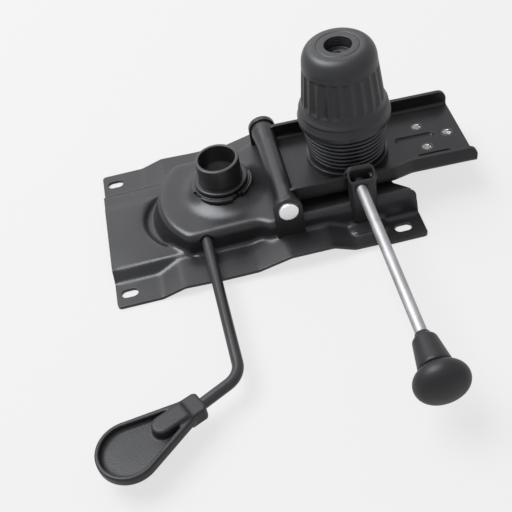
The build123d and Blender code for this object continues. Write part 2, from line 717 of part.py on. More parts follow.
def lock_ear():
    """Rounded plate on the inside of the near flange, with the lock hole."""
    inner = ARM_HALF + ARM_JOGGLE - ARM_SHEET
    foot = ARM_BOTTOM + ARM_SHEET + ARM_BEND - ARM_SHEET / 2 + SEAT
    outline = Rectangle(2 * LOCK_EAR_RADIUS, LOCK_Z - foot, align=(Align.CENTER, Align.MAX))
    outline += Circle(LOCK_EAR_RADIUS)
    outline &= Pos(0, foot - LOCK_Z) * Rectangle(FAR_OUT, FAR_OUT, align=(Align.CENTER, Align.MIN))
    outline -= Circle(LOCK_ROD_RADIUS + LOCK_CLEAR)
    plane = Plane(origin=(LOCK_X, -inner, LOCK_Z), x_dir=(1, 0, 0), z_dir=(0, -1, 0))
    ear = plane * extrude(outline, -ARM_SHEET)
    x, z = tilted_back(LOCK_X, LOCK_Z, ARM_TILT)
    low_hole = rod(LOCK_ROD_RADIUS + LOCK_CLEAR, 2 * ARM_SHEET, (x, -inner - PAST, z), (0, 1, 0))
    return one(ear - low_hole)


# Tension spring, bolt and knob

def spring_foot():
    return ARM_BOTTOM + ARM_SHEET + SEAT_WASHER


def spring_head():
    return spring_foot() + SPRING_WIRE + SPRING_PITCH * SPRING_TURNS


def spring_seat():
    """Seat on the arm's sloping floor, with a spigot inside the spring."""
    floor = ARM_BOTTOM + ARM_SHEET
    start = (SPRING_X, 0, floor - ARM_SHEET)
    outer = SPRING_BOTTOM_RADIUS + SPRING_WIRE / 2 + SEAT_RIM
    spigot = SPRING_BOTTOM_RADIUS - SPRING_WIRE / 2 - SPIGOT_CLEAR
    seat = rod(outer, ARM_SHEET + SEAT_WASHER, start, (0, 0, 1))
    seat += rod(spigot, ARM_SHEET + SEAT_WASHER + SEAT_SPIGOT, start, (0, 0, 1))
    seat -= rod(spigot - SPIGOT_WALL, FAR_OUT, (SPRING_X, 0, floor + SEAT_WASHER / 2), (0, 0, 1))
    seat -= sloped(box_between((0, -FAR_OUT, 0), (FAR_OUT, FAR_OUT, floor)))
    return one(seat - bolt_opening())


def spring_point(turn):
    """Point and direction of the wire's middle after this many turns."""
    share = turn / SPRING_TURNS
    radius = SPRING_BOTTOM_RADIUS + (SPRING_TOP_RADIUS - SPRING_BOTTOM_RADIUS) * share
    growth = (SPRING_TOP_RADIUS - SPRING_BOTTOM_RADIUS) / SPRING_TURNS / (2 * pi)
    angle = 2 * pi * turn
    height = spring_foot() + SPRING_WIRE / 2 + SPRING_PITCH * turn
    point = Vector(SPRING_X + radius * cos(angle), radius * sin(angle), height)
    way = Vector(growth * cos(angle) - radius * sin(angle),
                 growth * sin(angle) + radius * cos(angle), SPRING_PITCH / (2 * pi))
    return point, way.normalized()


def biarc(start, start_way, end, end_way):
    """Two arcs that leave and reach two points in given directions."""
    chord = end - start
    ways = start_way + end_way
    spread = 2 * (1 - start_way.dot(end_way))
    both = chord.dot(ways)
    reach = (-both + sqrt(both * both + spread * chord.dot(chord))) / spread
    middle = (start + end + (start_way - end_way) * reach) * 0.5
    middle_way = (middle - start - start_way * reach).normalized()
    first = Edge.make_tangent_arc(start, start_way, middle)
    return [first, Edge.make_tangent_arc(middle, middle_way, end)]


def tension_spring():
    """Open coil spring, one unbroken tube on arcs of a quarter turn."""
    steps = int(SPRING_TURNS * 4)
    stops = [spring_point(i / 4) for i in range(steps + 1)]
    edges = []
    for (start, start_way), (end, end_way) in zip(stops, stops[1:]):
        edges += biarc(start, start_way, end, end_way)
    path = Wire(edges)
    point, way = stops[0]
    section = Plane(origin=point, z_dir=way) * Circle(SPRING_WIRE / 2)
    gap = min((spring_point(i / 24)[0] - spring_point(i / 24 + 1)[0]).length
              for i in range(int(24 * (SPRING_TURNS - 1))))
    print(f"least gap in the spring {gap - SPRING_WIRE:.2f}")
    return one(sweep(section.faces()[0], path=path))


def cup_foot():
    return spring_head() + SEAT


def knob_foot():
    """Underside of the knob's web, resting on the cup."""
    return cup_foot() + CUP_DISC + SEAT


def thrust_cup():
    """Steel cup between the spring and the knob, with a lip inside the spring."""
    start = (SPRING_X, 0, cup_foot())
    outer = SPRING_TOP_RADIUS + SPRING_WIRE / 2
    lip = SPRING_TOP_RADIUS - SPRING_WIRE / 2 - SPIGOT_CLEAR
    cup = rod(outer, CUP_DISC, start, (0, 0, 1))
    cup += ring(lip, lip - CUP_LIP_WALL, CUP_LIP, (SPRING_X, 0, cup_foot() - CUP_LIP), (0, 0, 1))
    return one(cup - rod(TENSION_BOLT_RADIUS + 2 * RUN, CUP_DISC, start, (0, 0, 1)))


def tension_bolt():
    """Eye bolt: the eye turns on the cross pin inside the dome."""
    eye = rod(EYE_RADIUS, ANCHOR_GAP - 2 * SEAT, (SPRING_X, -ANCHOR_GAP / 2 + SEAT, ANCHOR_Z), (0, 1, 0))
    length = KNOB_TOP - KNOB_HOLE_DEPTH - TENSION_BOLT_END - KNOB_TRAVEL_DOWN - ANCHOR_Z
    bolt = eye + rod(TENSION_BOLT_RADIUS, length, (SPRING_X, 0, ANCHOR_Z), (0, 0, 1))
    hole = rod(ANCHOR_PIN_RADIUS + RUN, 2 * ANCHOR_GAP, (SPRING_X, -ANCHOR_GAP, ANCHOR_Z), (0, 1, 0))
    return one(bolt - hole)


def bolt_anchor():
    """Bracket welded under the dome's top that carries the cross pin."""
    top = DOME_TOP - SHEET
    half = ANCHOR_GAP / 2 + ANCHOR_SHEET
    low = ANCHOR_Z - EYE_RADIUS
    wide = half + ANCHOR_FLANGE
    web = box_between((SPRING_X - ANCHOR_LENGTH / 2, -wide, top - ANCHOR_SHEET),
                      (SPRING_X + ANCHOR_LENGTH / 2, wide, top))
    for side in (-1, 1):
        outer = side * half
        inner = side * ANCHOR_GAP / 2
        web += box_between((SPRING_X - ANCHOR_LENGTH / 2, min(outer, inner), low),
                           (SPRING_X + ANCHOR_LENGTH / 2, max(outer, inner), top))
    web -= rod(ANCHOR_PIN_RADIUS, 4 * half, (SPRING_X, -2 * half, ANCHOR_Z), (0, 1, 0))
    return one(web - anchor_window())


def anchor_pin():
    """Headed cross pin that the eye bolt turns on."""
    half = ANCHOR_GAP / 2 + ANCHOR_SHEET
    start = (SPRING_X, -half, ANCHOR_Z)
    head = rod(ANCHOR_PIN_RADIUS + ANCHOR_PIN_HEAD, ANCHOR_PIN_HEAD, start, (0, -1, 0))
    return one(head + rod(ANCHOR_PIN_RADIUS, 2 * half + ANCHOR_PIN_END, start, (0, 1, 0)))


def knob_profile():
    """Outline of the knob as (radius, height) points, from the skirt up."""
    base = knob_foot() - KNOB_OVERLAP
    side = [(KNOB_RADIUS - inside, base + height) for inside, height in KNOB_SIDE]
    return side + [(KNOB_GRIP_TOP_RADIUS, KNOB_TOP - KNOB_CROWN_HEIGHT)]


def flute_cutters(foot, top):
    """Flat-bottomed flutes, closed at both ends, along the grip's slope."""
    lean = degrees(atan2(foot[0] - top[0], top[1] - foot[1]))
    low = foot[1] + KNOB_FLUTE_START
    length = KNOB_FLUTE_TOP - low
    slot = Plane.YZ * RectangleRounded(KNOB_FLUTE_WIDTH, length, KNOB_FLUTE_CORNER)
    drawn_in = (foot[0] - top[0]) * (length / 2 + KNOB_FLUTE_START) / (top[1] - foot[1])
    reach = foot[0] - drawn_in - KNOB_FLUTE_DEPTH
    cutter = Pos(reach, 0, low + length / 2) * Rot(0, -lean, 0) * extrude(slot, KNOB_FLUTE_WIDTH)
    return [Rot(0, 0, 360 * i / KNOB_FLUTES) * cutter for i in range(KNOB_FLUTES)]


def tension_knob():
    """Moulded knob: flared skirt over the spring, fluted grip, round crown."""
    side = knob_profile()
    base = side[0][1]
    grip_top = side[-1]
    crown = (KNOB_CROWN_RADIUS, KNOB_TOP)
    turn = (KNOB_CROWN_RADIUS + (KNOB_GRIP_TOP_RADIUS - KNOB_CROWN_RADIUS) * KNOB_CROWN_SHARE,
            KNOB_TOP - KNOB_CROWN_DROP)
    outline = Polyline(*side) + ThreePointArc(grip_top, turn, crown)
    outline += Polyline(crown, (0, KNOB_TOP), (0, base), side[0])
    body = revolve(Plane.XZ * make_face(outline), Axis.Z)
    inner = SPRING_TOP_RADIUS + SPRING_WIRE / 2 + KNOB_SKIRT_CLEAR
    body -= rod(inner, knob_foot() - base, (0, 0, base), (0, 0, 1))
    body -= rod(TENSION_BOLT_RADIUS + KNOB_BOLT_GAP, FAR_OUT, (0, 0, base), (0, 0, 1))
    body -= rod(KNOB_HOLE_RADIUS, FAR_OUT, (0, 0, KNOB_TOP - KNOB_HOLE_DEPTH), (0, 0, 1))
    nut_foot = KNOB_TOP - KNOB_HOLE_DEPTH - KNOB_NUT_HEIGHT
    body -= hexagon(KNOB_NUT_FLATS, KNOB_NUT_HEIGHT, (0, 0, nut_foot), (0, 0, 1))
    for cutter in flute_cutters(side[-2], side[-1]):
        body -= cutter
    return one(Pos(SPRING_X, 0, 0) * body)


def knob_nut():
    """Hexagonal nut moulded into the knob."""
    foot = (SPRING_X, 0, KNOB_TOP - KNOB_HOLE_DEPTH - KNOB_NUT_HEIGHT)
    nut = hexagon(KNOB_NUT_FLATS, KNOB_NUT_HEIGHT, foot, (0, 0, 1))
    return one(nut - rod(TENSION_BOLT_RADIUS + RUN, KNOB_NUT_HEIGHT, foot, (0, 0, 1)))


# Tilt lock

def lock_housing(outer):
    """Folded bracket on the near wall that carries the lock rod."""
    middle = LOCK_X + HOUSING_ASIDE
    left = middle - HOUSING_WIDTH / 2
    right = middle + HOUSING_WIDTH / 2
    side = (
        (-HOUSING_FRONT, 0), (-HOUSING_FRONT, HOUSING_FRONT_TOP), (-HOUSING_BACK, HOUSING_BACK_TOP),
        (-HOUSING_BACK, 0),
    )
    block = Plane.YZ.offset(left) * extrude(make_face(Polyline(*side, close=True)), HOUSING_WIDTH)
    room = box_between((left + HOUSING_SHEET, -HOUSING_FRONT + HOUSING_SHEET, -PAST),
                       (right - HOUSING_SHEET, -HOUSING_BACK - HOUSING_SHEET, FAR_OUT))
    block = fillet(block.edges().filter_by(Axis.Z), HOUSING_CORNER)
    block -= fillet(room.edges().filter_by(Axis.Z), HOUSING_ROOM_CORNER)
    tab_y = -HOUSING_FRONT + HOUSING_CORNER
    top = HOUSING_FRONT_TOP + HOUSING_TAB_PROUD
    block += box_between((right - HOUSING_CORNER, tab_y, top - HOUSING_TAB),
                         (right + HOUSING_TAB_PROUD, tab_y + HOUSING_SHEET, top))
    block -= rod(LOCK_ROD_RADIUS + LOCK_CLEAR, 3 * HOUSING_DEPTH,
                 (LOCK_X, -HOUSING_FRONT - HOUSING_DEPTH, LOCK_Z), (0, 1, 0))
    return max((block - outer).solids(), key=lambda s: s.volume)


def lock_guide():
    """Guide bush of the lock rod, between the housing's two walls."""
    start = (LOCK_X, -HOUSING_FRONT + HOUSING_SHEET, LOCK_Z)
    length = HOUSING_FRONT - HOUSING_BACK - 2 * HOUSING_SHEET
    return one(ring(GUIDE_RADIUS, LOCK_ROD_RADIUS + RUN, length, start, (0, 1, 0)))


def lock_rod():
    """Bright push and pull rod, its inner end bevelled."""
    start = Vector(LOCK_X, -HOUSING_BACK - LOCK_HOME, LOCK_Z)
    length = LOCK_KNOB_START + LOCK_SUNK - HOUSING_BACK - LOCK_HOME
    bar = rod(LOCK_ROD_RADIUS, length, start, (0, -1, 0))
    return one(chamfer(bar.edges().filter_by(GeomType.CIRCLE).sort_by(Axis.Y)[-1], LOCK_BEVEL))


def lock_knob():
    """Mushroom knob: stub, shoulder, flaring neck, groove and thick disc."""
    neck = LOCK_NECK_LENGTH
    disc = neck + LOCK_GROOVE
    end = disc + LOCK_DISC_LENGTH
    waist = LOCK_NECK_FLARE - LOCK_GROOVE_DEPTH
    edge = LOCK_DISC_RADIUS
    back = (edge - LOCK_DISC_ROUND, disc)
    rim = (edge - LOCK_DISC_ROUND, end - LOCK_DOME)
    bend = (rim[0] ** 2 + LOCK_DOME ** 2) / (2 * LOCK_DOME)
    half = atan2(rim[0], bend - LOCK_DOME) / 2
    outline = Polyline(
        (0, end), (0, 0), (LOCK_STUB_RADIUS, 0), (LOCK_STUB_RADIUS, LOCK_STUB_LENGTH),
        (LOCK_NECK_RADIUS, LOCK_SHOULDER), (LOCK_NECK_FLARE, neck - LOCK_NECK_EDGE[1]),
        (LOCK_NECK_FLARE - LOCK_NECK_EDGE[0], neck),
        (waist, neck), (waist, disc), back,
    )
    outline += ThreePointArc(back, (edge, (disc + rim[1]) / 2), rim)
    outline += ThreePointArc(rim, (bend * sin(half), end - bend * (1 - cos(half))), (0, end))
    plane = Plane(origin=(LOCK_X, -LOCK_KNOB_START, LOCK_Z), x_dir=(1, 0, 0), z_dir=(0, 0, -1))
    body = revolve(plane * make_face(outline), Axis(plane.origin, plane.y_dir))
    hole = rod(LOCK_ROD_RADIUS, LOCK_SUNK, (LOCK_X, -LOCK_KNOB_START, LOCK_Z), (0, -1, 0))
    return one(body - hole)


# Gas lever

def lever_corner():
    lean = radians(LEVER_SKEW)
    return Vector(LEVER_X + LEVER_OUTER * sin(lean), LEVER_Y - LEVER_OUTER * cos(lean), LEVER_Z)


def second_way():
    turn = radians(LEVER_SKEW - SECOND_LEG_ANGLE)
    return Vector(sin(turn), -cos(turn), 0)


def paddle_way():
    turn = radians(LEVER_SKEW - SECOND_LEG_ANGLE - PADDLE_TURN)
    return Vector(sin(turn), -cos(turn), 0)


def lever_rod():
    """Round rod with one bend, from the bracket in the dome to the paddle."""
    start = lever_frame(-LEVER_INNER).origin
    corner = lever_corner()
    end = corner + second_way() * SECOND_LEG
    path = FilletPolyline(start, corner, end, radius=LEVER_BEND_RADIUS)
    section = lever_frame(-LEVER_INNER) * Circle(LEVER_RADIUS)
    return one(sweep(section.faces()[0], path=path.wires()[0]))


def lever_bush():
    """Plastic bush where the rod leaves the dome's side wall."""
    frame = lever_frame(0)
    start = lever_frame(-LEVER_BUSH_LENGTH - LEVER_BUSH_SUNK).origin
    outer = LEVER_RADIUS + LEVER_BUSH_WALL
    return one(ring(outer, LEVER_RADIUS + RUN, LEVER_BUSH_LENGTH, start, frame.z_dir))


def lever_bracket():
    """Angle welded under the dome's top that carries the rod's inner end."""
    frame = lever_frame(-LEVER_BRACKET_AT)
    middle = frame.origin
    ceiling = DOME_TOP - SHEET
    half = LEVER_BRACKET_WIDTH / 2
    leg = box_between((middle.X - half, middle.Y, LEVER_Z - LEVER_BRACKET_DROP),
                      (middle.X + half, middle.Y + LEVER_BRACKET_SHEET, ceiling))
    leg += box_between((middle.X - half, middle.Y, ceiling - LEVER_BRACKET_SHEET),
                       (middle.X + half, middle.Y + LEVER_BRACKET_FLANGE, ceiling))
    return one(leg - frame * Cylinder(LEVER_RADIUS + RUN, 4 * LEVER_BRACKET_FLANGE))


def lever_clip():
    """Clip in front of the bracket that keeps the rod in."""
    frame = lever_frame(-LEVER_BRACKET_AT + SEAT)
    clip = frame * Cylinder(CLIP_RADIUS, CLIP_THICKNESS, align=(Align.CENTER, Align.CENTER, Align.MIN))
    clip -= frame * Cylinder(LEVER_RADIUS, CLIP_THICKNESS, align=(Align.CENTER, Align.CENTER, Align.MIN))
    return one(clip)


def lever_tab():
    """Flat tab on the rod that presses the gas lift's button."""
    middle = lever_frame(LEVER_Y).origin
    top = tab_top()
    tab = box_between((middle.X - LEVER_RADIUS, -TAB_WIDTH / 2, top - TAB_SHEET),
                      (middle.X + TAB_REACH, TAB_WIDTH / 2, top))
    tab = fillet(tab.edges().filter_by(Axis.Z), TAB_CORNER)
    tab -= lever_frame(-LEVER_INNER) * Cylinder(
        LEVER_RADIUS, FAR_OUT, align=(Align.CENTER, Align.CENTER, Align.MIN))
    return one(tab)


def paddle_frame():
    """Plane of the paddle: X along it, Z up, at the neck."""
    neck = lever_corner() + second_way() * (SECOND_LEG - PADDLE_OVER)
    return Plane(origin=neck, x_dir=paddle_way(), z_dir=(0, 0, 1))


def paddle_outline(inset):
    """Teardrop plan: a round dish drawn into a narrow neck."""
    dish = Pos(PADDLE_LENGTH, 0) * Circle(PADDLE_RADIUS - inset)
    neck = Pos(inset, 0) * Circle(PADDLE_NECK_HALF - inset)
    return make_hull((dish + neck).edges())


def lever_paddle():
    """Moulded paddle: dished face, boss over the rod's end, squared neck."""
    low = PADDLE_LOW
    body = Pos(0, 0, low) * extrude(paddle_outline(0), PADDLE_THICKNESS)
    top = low + PADDLE_THICKNESS
    body = fillet(body.edges().filter_by(lambda e: abs(e.center().Z - low) < 0.01), PADDLE_ROUND)
    body = fillet(body.edges().filter_by(lambda e: abs(e.center().Z - top) < 0.01), PADDLE_EDGE)
    dish = Pos(0, 0, top - PADDLE_DISH) * extrude(paddle_outline(PADDLE_RIM), FAR_OUT)
    floor = dish.edges().filter_by(lambda e: abs(e.center().Z - top + PADDLE_DISH) < 0.01)
    body -= fillet(floor, PADDLE_DISH_ROUND)
    boss_top = top + BOSS_RISE
    end = BOSS_START + BOSS_LENGTH
    boss = box_between((BOSS_START, -BOSS_HALF, BOSS_LOW), (end - BOSS_HALF, BOSS_HALF, boss_top))
    boss += rod(BOSS_HALF, boss_top - BOSS_LOW, (end - BOSS_HALF, 0, BOSS_LOW), (0, 0, 1))
    crown = boss.edges().filter_by(lambda e: e.center().Z > boss_top - 0.01)
    foot = boss.edges().filter_by(lambda e: e.center().Z < BOSS_LOW + 0.01)
    body += fillet(crown + foot, BOSS_ROUND)
    block_top = top + NECK_BLOCK_RISE
    block = box_between((NECK_BLOCK[0], -NECK_BLOCK_HALF, BOSS_LOW), (NECK_BLOCK[1], NECK_BLOCK_HALF, block_top))
    corners = block.edges().filter_by(Axis.Z).filter_by(lambda e: e.center().X < 0)
    body += chamfer(corners, NECK_BLOCK_BEVEL)
    body = paddle_frame() * body
    return one(body - rod(LEVER_RADIUS, SECOND_LEG, lever_corner(), second_way()))


# Stop pads

def stop_pads():
    """Rubber pads on the dome, a little below the arm's sloping floor."""
    under = sloped(box_between((0, -FAR_OUT, ARM_BOTTOM - SEAT), (FAR_OUT, FAR_OUT, FAR_OUT)))
    pads = []
    for side in (-1, 1):
        pad = rod(PAD_RADIUS, ARM_BOTTOM - DOME_TOP, (PAD_X, side * PAD_Y, DOME_TOP), (0, 0, 1))
        pads.append(one(pad - under))
    return Compound(pads)


def main():
    os.makedirs("parts", exist_ok=True)
    outer = pressed_form(0)
    write("seat_plate", seat_plate(outer))
    write("taper_socket", taper_socket())
    write("socket_collar", socket_collar())
    write("socket_ring", socket_ring())
    write("pivot_lug_near", pivot_lug(-1, outer))
    write("pivot_lug_far", pivot_lug(1, outer))
    write("pivot_tube", pivot_tube())
    write("pivot_bushes", pivot_bushes())
    write("pivot_bolt", pivot_bolt())
    write("pivot_nut", pivot_nut())
    write("tilt_arm", tilt_arm())
    write("arm_weld_nuts", arm_weld_nuts())
    write("lock_ear", lock_ear())
    write("spring_seat", spring_seat())
    write("tension_spring", tension_spring())
    write("thrust_cup", thrust_cup())
    write("tension_bolt", tension_bolt())
    write("bolt_anchor", bolt_anchor())
    write("anchor_pin", anchor_pin())
    write("tension_knob", tension_knob())
    write("knob_nut", knob_nut())
    write("lock_housing", lock_housing(outer))
    write("lock_guide", lock_guide())
    write("lock_rod", lock_rod())
    write("lock_knob", lock_knob())
    write("lever_rod", lever_rod())
    write("lever_bush", lever_bush())
    write("lever_bracket", lever_bracket())
    write("lever_clip", lever_clip())
    write("lever_tab", lever_tab())
    write("lever_paddle", lever_paddle())
    write("stop_pads", stop_pads())


main()
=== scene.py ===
# %% [markdown]
# # Push back mechanism of an office chair
#
# The part is the steel mechanism that joins a chair's seat, its gas lift and its back.
# It lies upside down on its seat plate, so we look at the side that faces the floor
# when the chair stands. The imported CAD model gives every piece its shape, place and body,
# and this notebook dresses it: real finishes, soft folds in the pressed steel, threads,
# a wound spring and a moulded knob.

import json
import math

import bmesh
import bpy
import numpy as np
from mathutils import Matrix, Vector
from mathutils.bvhtree import BVHTree
from mathutils.kdtree import KDTree


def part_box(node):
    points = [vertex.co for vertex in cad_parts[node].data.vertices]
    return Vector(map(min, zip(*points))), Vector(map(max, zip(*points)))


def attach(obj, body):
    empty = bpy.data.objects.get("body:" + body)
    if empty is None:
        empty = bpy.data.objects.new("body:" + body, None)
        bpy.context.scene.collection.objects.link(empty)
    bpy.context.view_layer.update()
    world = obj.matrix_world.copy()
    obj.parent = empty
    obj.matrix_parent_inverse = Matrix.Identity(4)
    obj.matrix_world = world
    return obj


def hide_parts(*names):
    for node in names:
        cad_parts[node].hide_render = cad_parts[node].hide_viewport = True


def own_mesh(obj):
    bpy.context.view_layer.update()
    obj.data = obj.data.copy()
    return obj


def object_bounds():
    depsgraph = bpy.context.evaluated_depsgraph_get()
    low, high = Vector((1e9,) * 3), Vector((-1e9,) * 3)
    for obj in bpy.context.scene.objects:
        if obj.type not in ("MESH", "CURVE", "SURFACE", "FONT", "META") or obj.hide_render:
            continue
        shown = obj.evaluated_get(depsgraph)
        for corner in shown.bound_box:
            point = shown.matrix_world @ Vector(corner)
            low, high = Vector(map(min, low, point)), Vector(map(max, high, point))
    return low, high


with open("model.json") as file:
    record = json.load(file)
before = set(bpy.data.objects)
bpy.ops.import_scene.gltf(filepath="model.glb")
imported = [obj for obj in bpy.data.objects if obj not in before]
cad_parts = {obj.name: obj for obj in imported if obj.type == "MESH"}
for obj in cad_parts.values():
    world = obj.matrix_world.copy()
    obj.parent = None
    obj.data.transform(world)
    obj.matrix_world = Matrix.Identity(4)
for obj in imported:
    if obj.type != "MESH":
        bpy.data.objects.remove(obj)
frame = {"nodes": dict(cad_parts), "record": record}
nodes = frame["nodes"]
cad_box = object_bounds()
MM = 0.001
scene = bpy.context.scene

# %% [markdown]
# The camera comes first: it stands where the photograph was taken.
# Its place, its turn and its lens were worked out from points of the plate, the socket,
# the knob and the levers whose real places are known. The rows below are the directions
# in which the picture's right, down and depth run in the frame of the model.

# %% Camera at the photograph's viewpoint
PICTURE_PX = 512
FOCAL_PX = 913.77
SENSOR_MM = 36.0
CAMERA_PLACE = Vector((-28.99, -529.36, 499.14)) * MM
PICTURE_RIGHT = Vector((0.97179, -0.19034, -0.13926))
PICTURE_DOWN = Vector((-0.23374, -0.69867, -0.67618))
VIEW_DEPTH = Vector((0.03141, 0.68966, -0.72346))

camera_data = bpy.data.cameras.new("camera")
camera = bpy.data.objects.new("camera", camera_data)
scene.collection.objects.link(camera)
scene.camera = camera
camera_data.sensor_width = SENSOR_MM
camera_data.lens = SENSOR_MM * FOCAL_PX / PICTURE_PX
camera_data.clip_start = 0.01
camera_data.clip_end = 20.0        # the far end of the floor is well inside this
turn = Matrix((PICTURE_RIGHT, -PICTURE_DOWN, -VIEW_DEPTH)).transposed()
camera.matrix_world = Matrix.Translation(CAMERA_PLACE) @ turn.to_4x4()
print("lens:", round(camera_data.lens, 2), "mm")

# %% [markdown]
# Lights and materials are trees of nodes. These helpers make a node with its settings,
# join two sockets and write a sum in one line, so that each tree below stays short. The
# last one tells what a ray is for: the floor and the world look bright to the camera
# and in reflections, and light the object less than they seem to.

# %% Helpers for node trees
scene.view_settings.view_transform = "Standard"


def link(tree, source, target):
    """Join two sockets of a node tree."""
    tree.links.new(source, target)


def node_of(tree, kind, **settings):
    """A new node of a tree, with its settings."""
    made = tree.nodes.new(kind)
    for name, value in settings.items():
        setattr(made, name, value)
    return made


def math_node(tree, operation, first, second=0.0):
    """A Math node whose inputs are sockets or numbers."""
    made = node_of(tree, "ShaderNodeMath", operation=operation)
    for socket, value in zip(made.inputs, (first, second)):
        if isinstance(value, (int, float)):
            socket.default_value = value
        else:
            link(tree, value, socket)
    return made.outputs[0]


def seen_or_mirrored(tree):
    """1 where the camera or a reflection looks, 0 for the light that falls on things."""
    path = node_of(tree, "ShaderNodeLightPath").outputs
    either = math_node(tree, "MAXIMUM", path["Is Camera Ray"], path["Is Glossy Ray"])
    return math_node(tree, "MAXIMUM", either, path["Is Transmission Ray"])


print("view transform:", scene.view_settings.view_transform)

# %% [markdown]
# The product was photographed on white. A plain floor under plain lamps comes out grey,
# and stronger lamps would bleach the object too. So the floor gives part of its
# brightness itself, where the camera or a shiny face sees it: it comes out nearly white
# and still holds the object's shadow.

# %% Floor
PALE = (0.88, 0.88, 0.88, 1)
FLOOR_HALF_SIZE = 6.0
FLOOR_DROP = 0.2 * MM        # keeps the floor clear of the plate's flat face
FLOOR_OWN_LIGHT = 0.8        # share of the floor's look that shadows don't reach
floor_mesh = bpy.data.meshes.new("floor")
made = bmesh.new()
bmesh.ops.create_grid(made, x_segments=1, y_segments=1, size=FLOOR_HALF_SIZE)
made.to_mesh(floor_mesh)
made.free()
floor = bpy.data.objects.new("floor", floor_mesh)
scene.collection.objects.link(floor)
floor.location.z = cad_box[0].z - FLOOR_DROP

floor_paint = bpy.data.materials.new("floor_paint")
floor_paint.use_nodes = True
tree = floor_paint.node_tree
paint = tree.nodes["Principled BSDF"]
paint.inputs["Base Color"].default_value = (0.45, 0.45, 0.45, 1)
paint.inputs["Roughness"].default_value = 0.95
paint.inputs["Specular IOR Level"].default_value = 0.1
glow = node_of(tree, "ShaderNodeEmission")
glow.inputs["Color"].default_value = PALE
blend = node_of(tree, "ShaderNodeMixShader")
link(tree, math_node(tree, "MULTIPLY", seen_or_mirrored(tree), FLOOR_OWN_LIGHT), blend.inputs["Fac"])
link(tree, paint.outputs["BSDF"], blend.inputs[1])
link(tree, glow.outputs["Emission"], blend.inputs[2])
link(tree, blend.outputs["Shader"], tree.nodes["Material Output"].inputs["Surface"])
floor_mesh.materials.append(floor_paint)
print("floor at", round(floor.location.z / MM, 2), "mm")

# %% [markdown]
# Black paint shows little but reflections, so the lamps stand where the photograph's
# highlights say: a broad and weak one straight behind, which level faces mirror towards
# us, and a strong one high up on the left, which the rounded edges, the knob's crown and
# the flared neck pick up. Faces turned to the front see only the pale floor and stay
# dark.

# %% World and lamps
world = bpy.data.worlds.new("studio")
scene.world = world
world.use_nodes = True
tree = world.node_tree
dim = tree.nodes["Background"]
dim.inputs["Color"].default_value = PALE
dim.inputs["Strength"].default_value = 0.7
bright = node_of(tree, "ShaderNodeBackground")
bright.inputs["Color"].default_value = PALE
blend = node_of(tree, "ShaderNodeMixShader")
link(tree, seen_or_mirrored(tree), blend.inputs["Fac"])
link(tree, dim.outputs["Background"], blend.inputs[1])
link(tree, bright.outputs["Background"], blend.inputs[2])
link(tree, blend.outputs["Shader"], tree.nodes["World Output"].inputs["Surface"])


def lamp(name, place, width, height, watts):
    """A soft box at a place, turned towards the object."""
    data = bpy.data.lights.new(name, "AREA")
    data.shape = "RECTANGLE"
    data.size = width
    data.size_y = height
    data.energy = watts
    made = bpy.data.objects.new(name, data)
    scene.collection.objects.link(made)
    made.location = place
    made.rotation_mode = "QUATERNION"
    made.rotation_quaternion = (-Vector(place)).to_track_quat("-Z", "Y")


lamp("behind", (-0.14, 1.55, 1.10), 1.7, 1.3, 8.6)
lamp("overhead", (-0.90, 0.46, 2.20), 1.6, 1.6, 96.0)

# %% [markdown]
# Every finish is built from a few effects that real metal and plastic share. Each effect
# is a node group with named inputs, made once and used with other values in each
# material. The first one rounds edges: pressed and cut steel never has a knife edge, and
# the thin highlight along a rounded edge is most of what we see of black paint. Rounding
# the real mesh would cost much geometry, so the Bevel node bends the light instead, and
# where it bends it we also know that there is an edge, which wears first. The black
# paints use this mask for paler edges, partly wear and partly a painted highlight.

# %% Node group: soft and worn edges
EDGE_STARTS = 0.985          # how well the bent and the true normal agree where an edge starts
EDGE_FULL = 0.80             # and where it is in full


def group(name, inputs, outputs):
    """An empty shader node group with float inputs and typed outputs."""
    made = bpy.data.node_groups.new(name, "ShaderNodeTree")
    for label, value in inputs.items():
        socket = made.interface.new_socket(name=label, in_out="INPUT", socket_type="NodeSocketFloat")
        socket.default_value = value
    for label, kind in outputs.items():
        made.interface.new_socket(name=label, in_out="OUTPUT", socket_type=kind)
    return made, made.nodes.new("NodeGroupInput"), made.nodes.new("NodeGroupOutput")


edges, given, result = group(
    "soft_edges", {"Radius": 0.001, "Patchiness": 0.6},
    {"Normal": "NodeSocketVector", "Edge": "NodeSocketFloat"})
bevel = node_of(edges, "ShaderNodeBevel", samples=6)
surface = node_of(edges, "ShaderNodeNewGeometry")
agree = node_of(edges, "ShaderNodeVectorMath", operation="DOT_PRODUCT")
sharp = node_of(edges, "ShaderNodeMapRange")
sharp.inputs["From Min"].default_value = EDGE_STARTS
sharp.inputs["From Max"].default_value = EDGE_FULL
place = node_of(edges, "ShaderNodeTexCoord")
patches = node_of(edges, "ShaderNodeTexNoise")
patches.inputs["Scale"].default_value = 160.0
patches.inputs["Detail"].default_value = 4.0
uneven = node_of(edges, "ShaderNodeMapRange")
uneven.inputs["From Min"].default_value = 0.35
uneven.inputs["From Max"].default_value = 0.65
kept = math_node(edges, "SUBTRACT", 1.0, given.outputs["Patchiness"])
link(edges, given.outputs["Radius"], bevel.inputs["Radius"])
link(edges, bevel.outputs["Normal"], agree.inputs[0])
link(edges, surface.outputs["Normal"], agree.inputs[1])
link(edges, agree.outputs["Value"], sharp.inputs["Value"])
link(edges, place.outputs["Object"], patches.inputs["Vector"])
link(edges, patches.outputs["Fac"], uneven.inputs["Value"])
link(edges, kept, uneven.inputs["To Min"])
worn = math_node(edges, "MULTIPLY", sharp.outputs["Result"], uneven.outputs["Result"])
link(edges, bevel.outputs["Normal"], result.inputs["Normal"])
link(edges, worn, result.inputs["Edge"])
print("group:", edges.name)

# %% [markdown]
# Powder coat is sprayed as dry powder and melted, and it flows out with a fine waviness
# that painters call orange peel. The same group also gives the slow change of gloss
# across a sheet that has been handled, wiped and stacked.

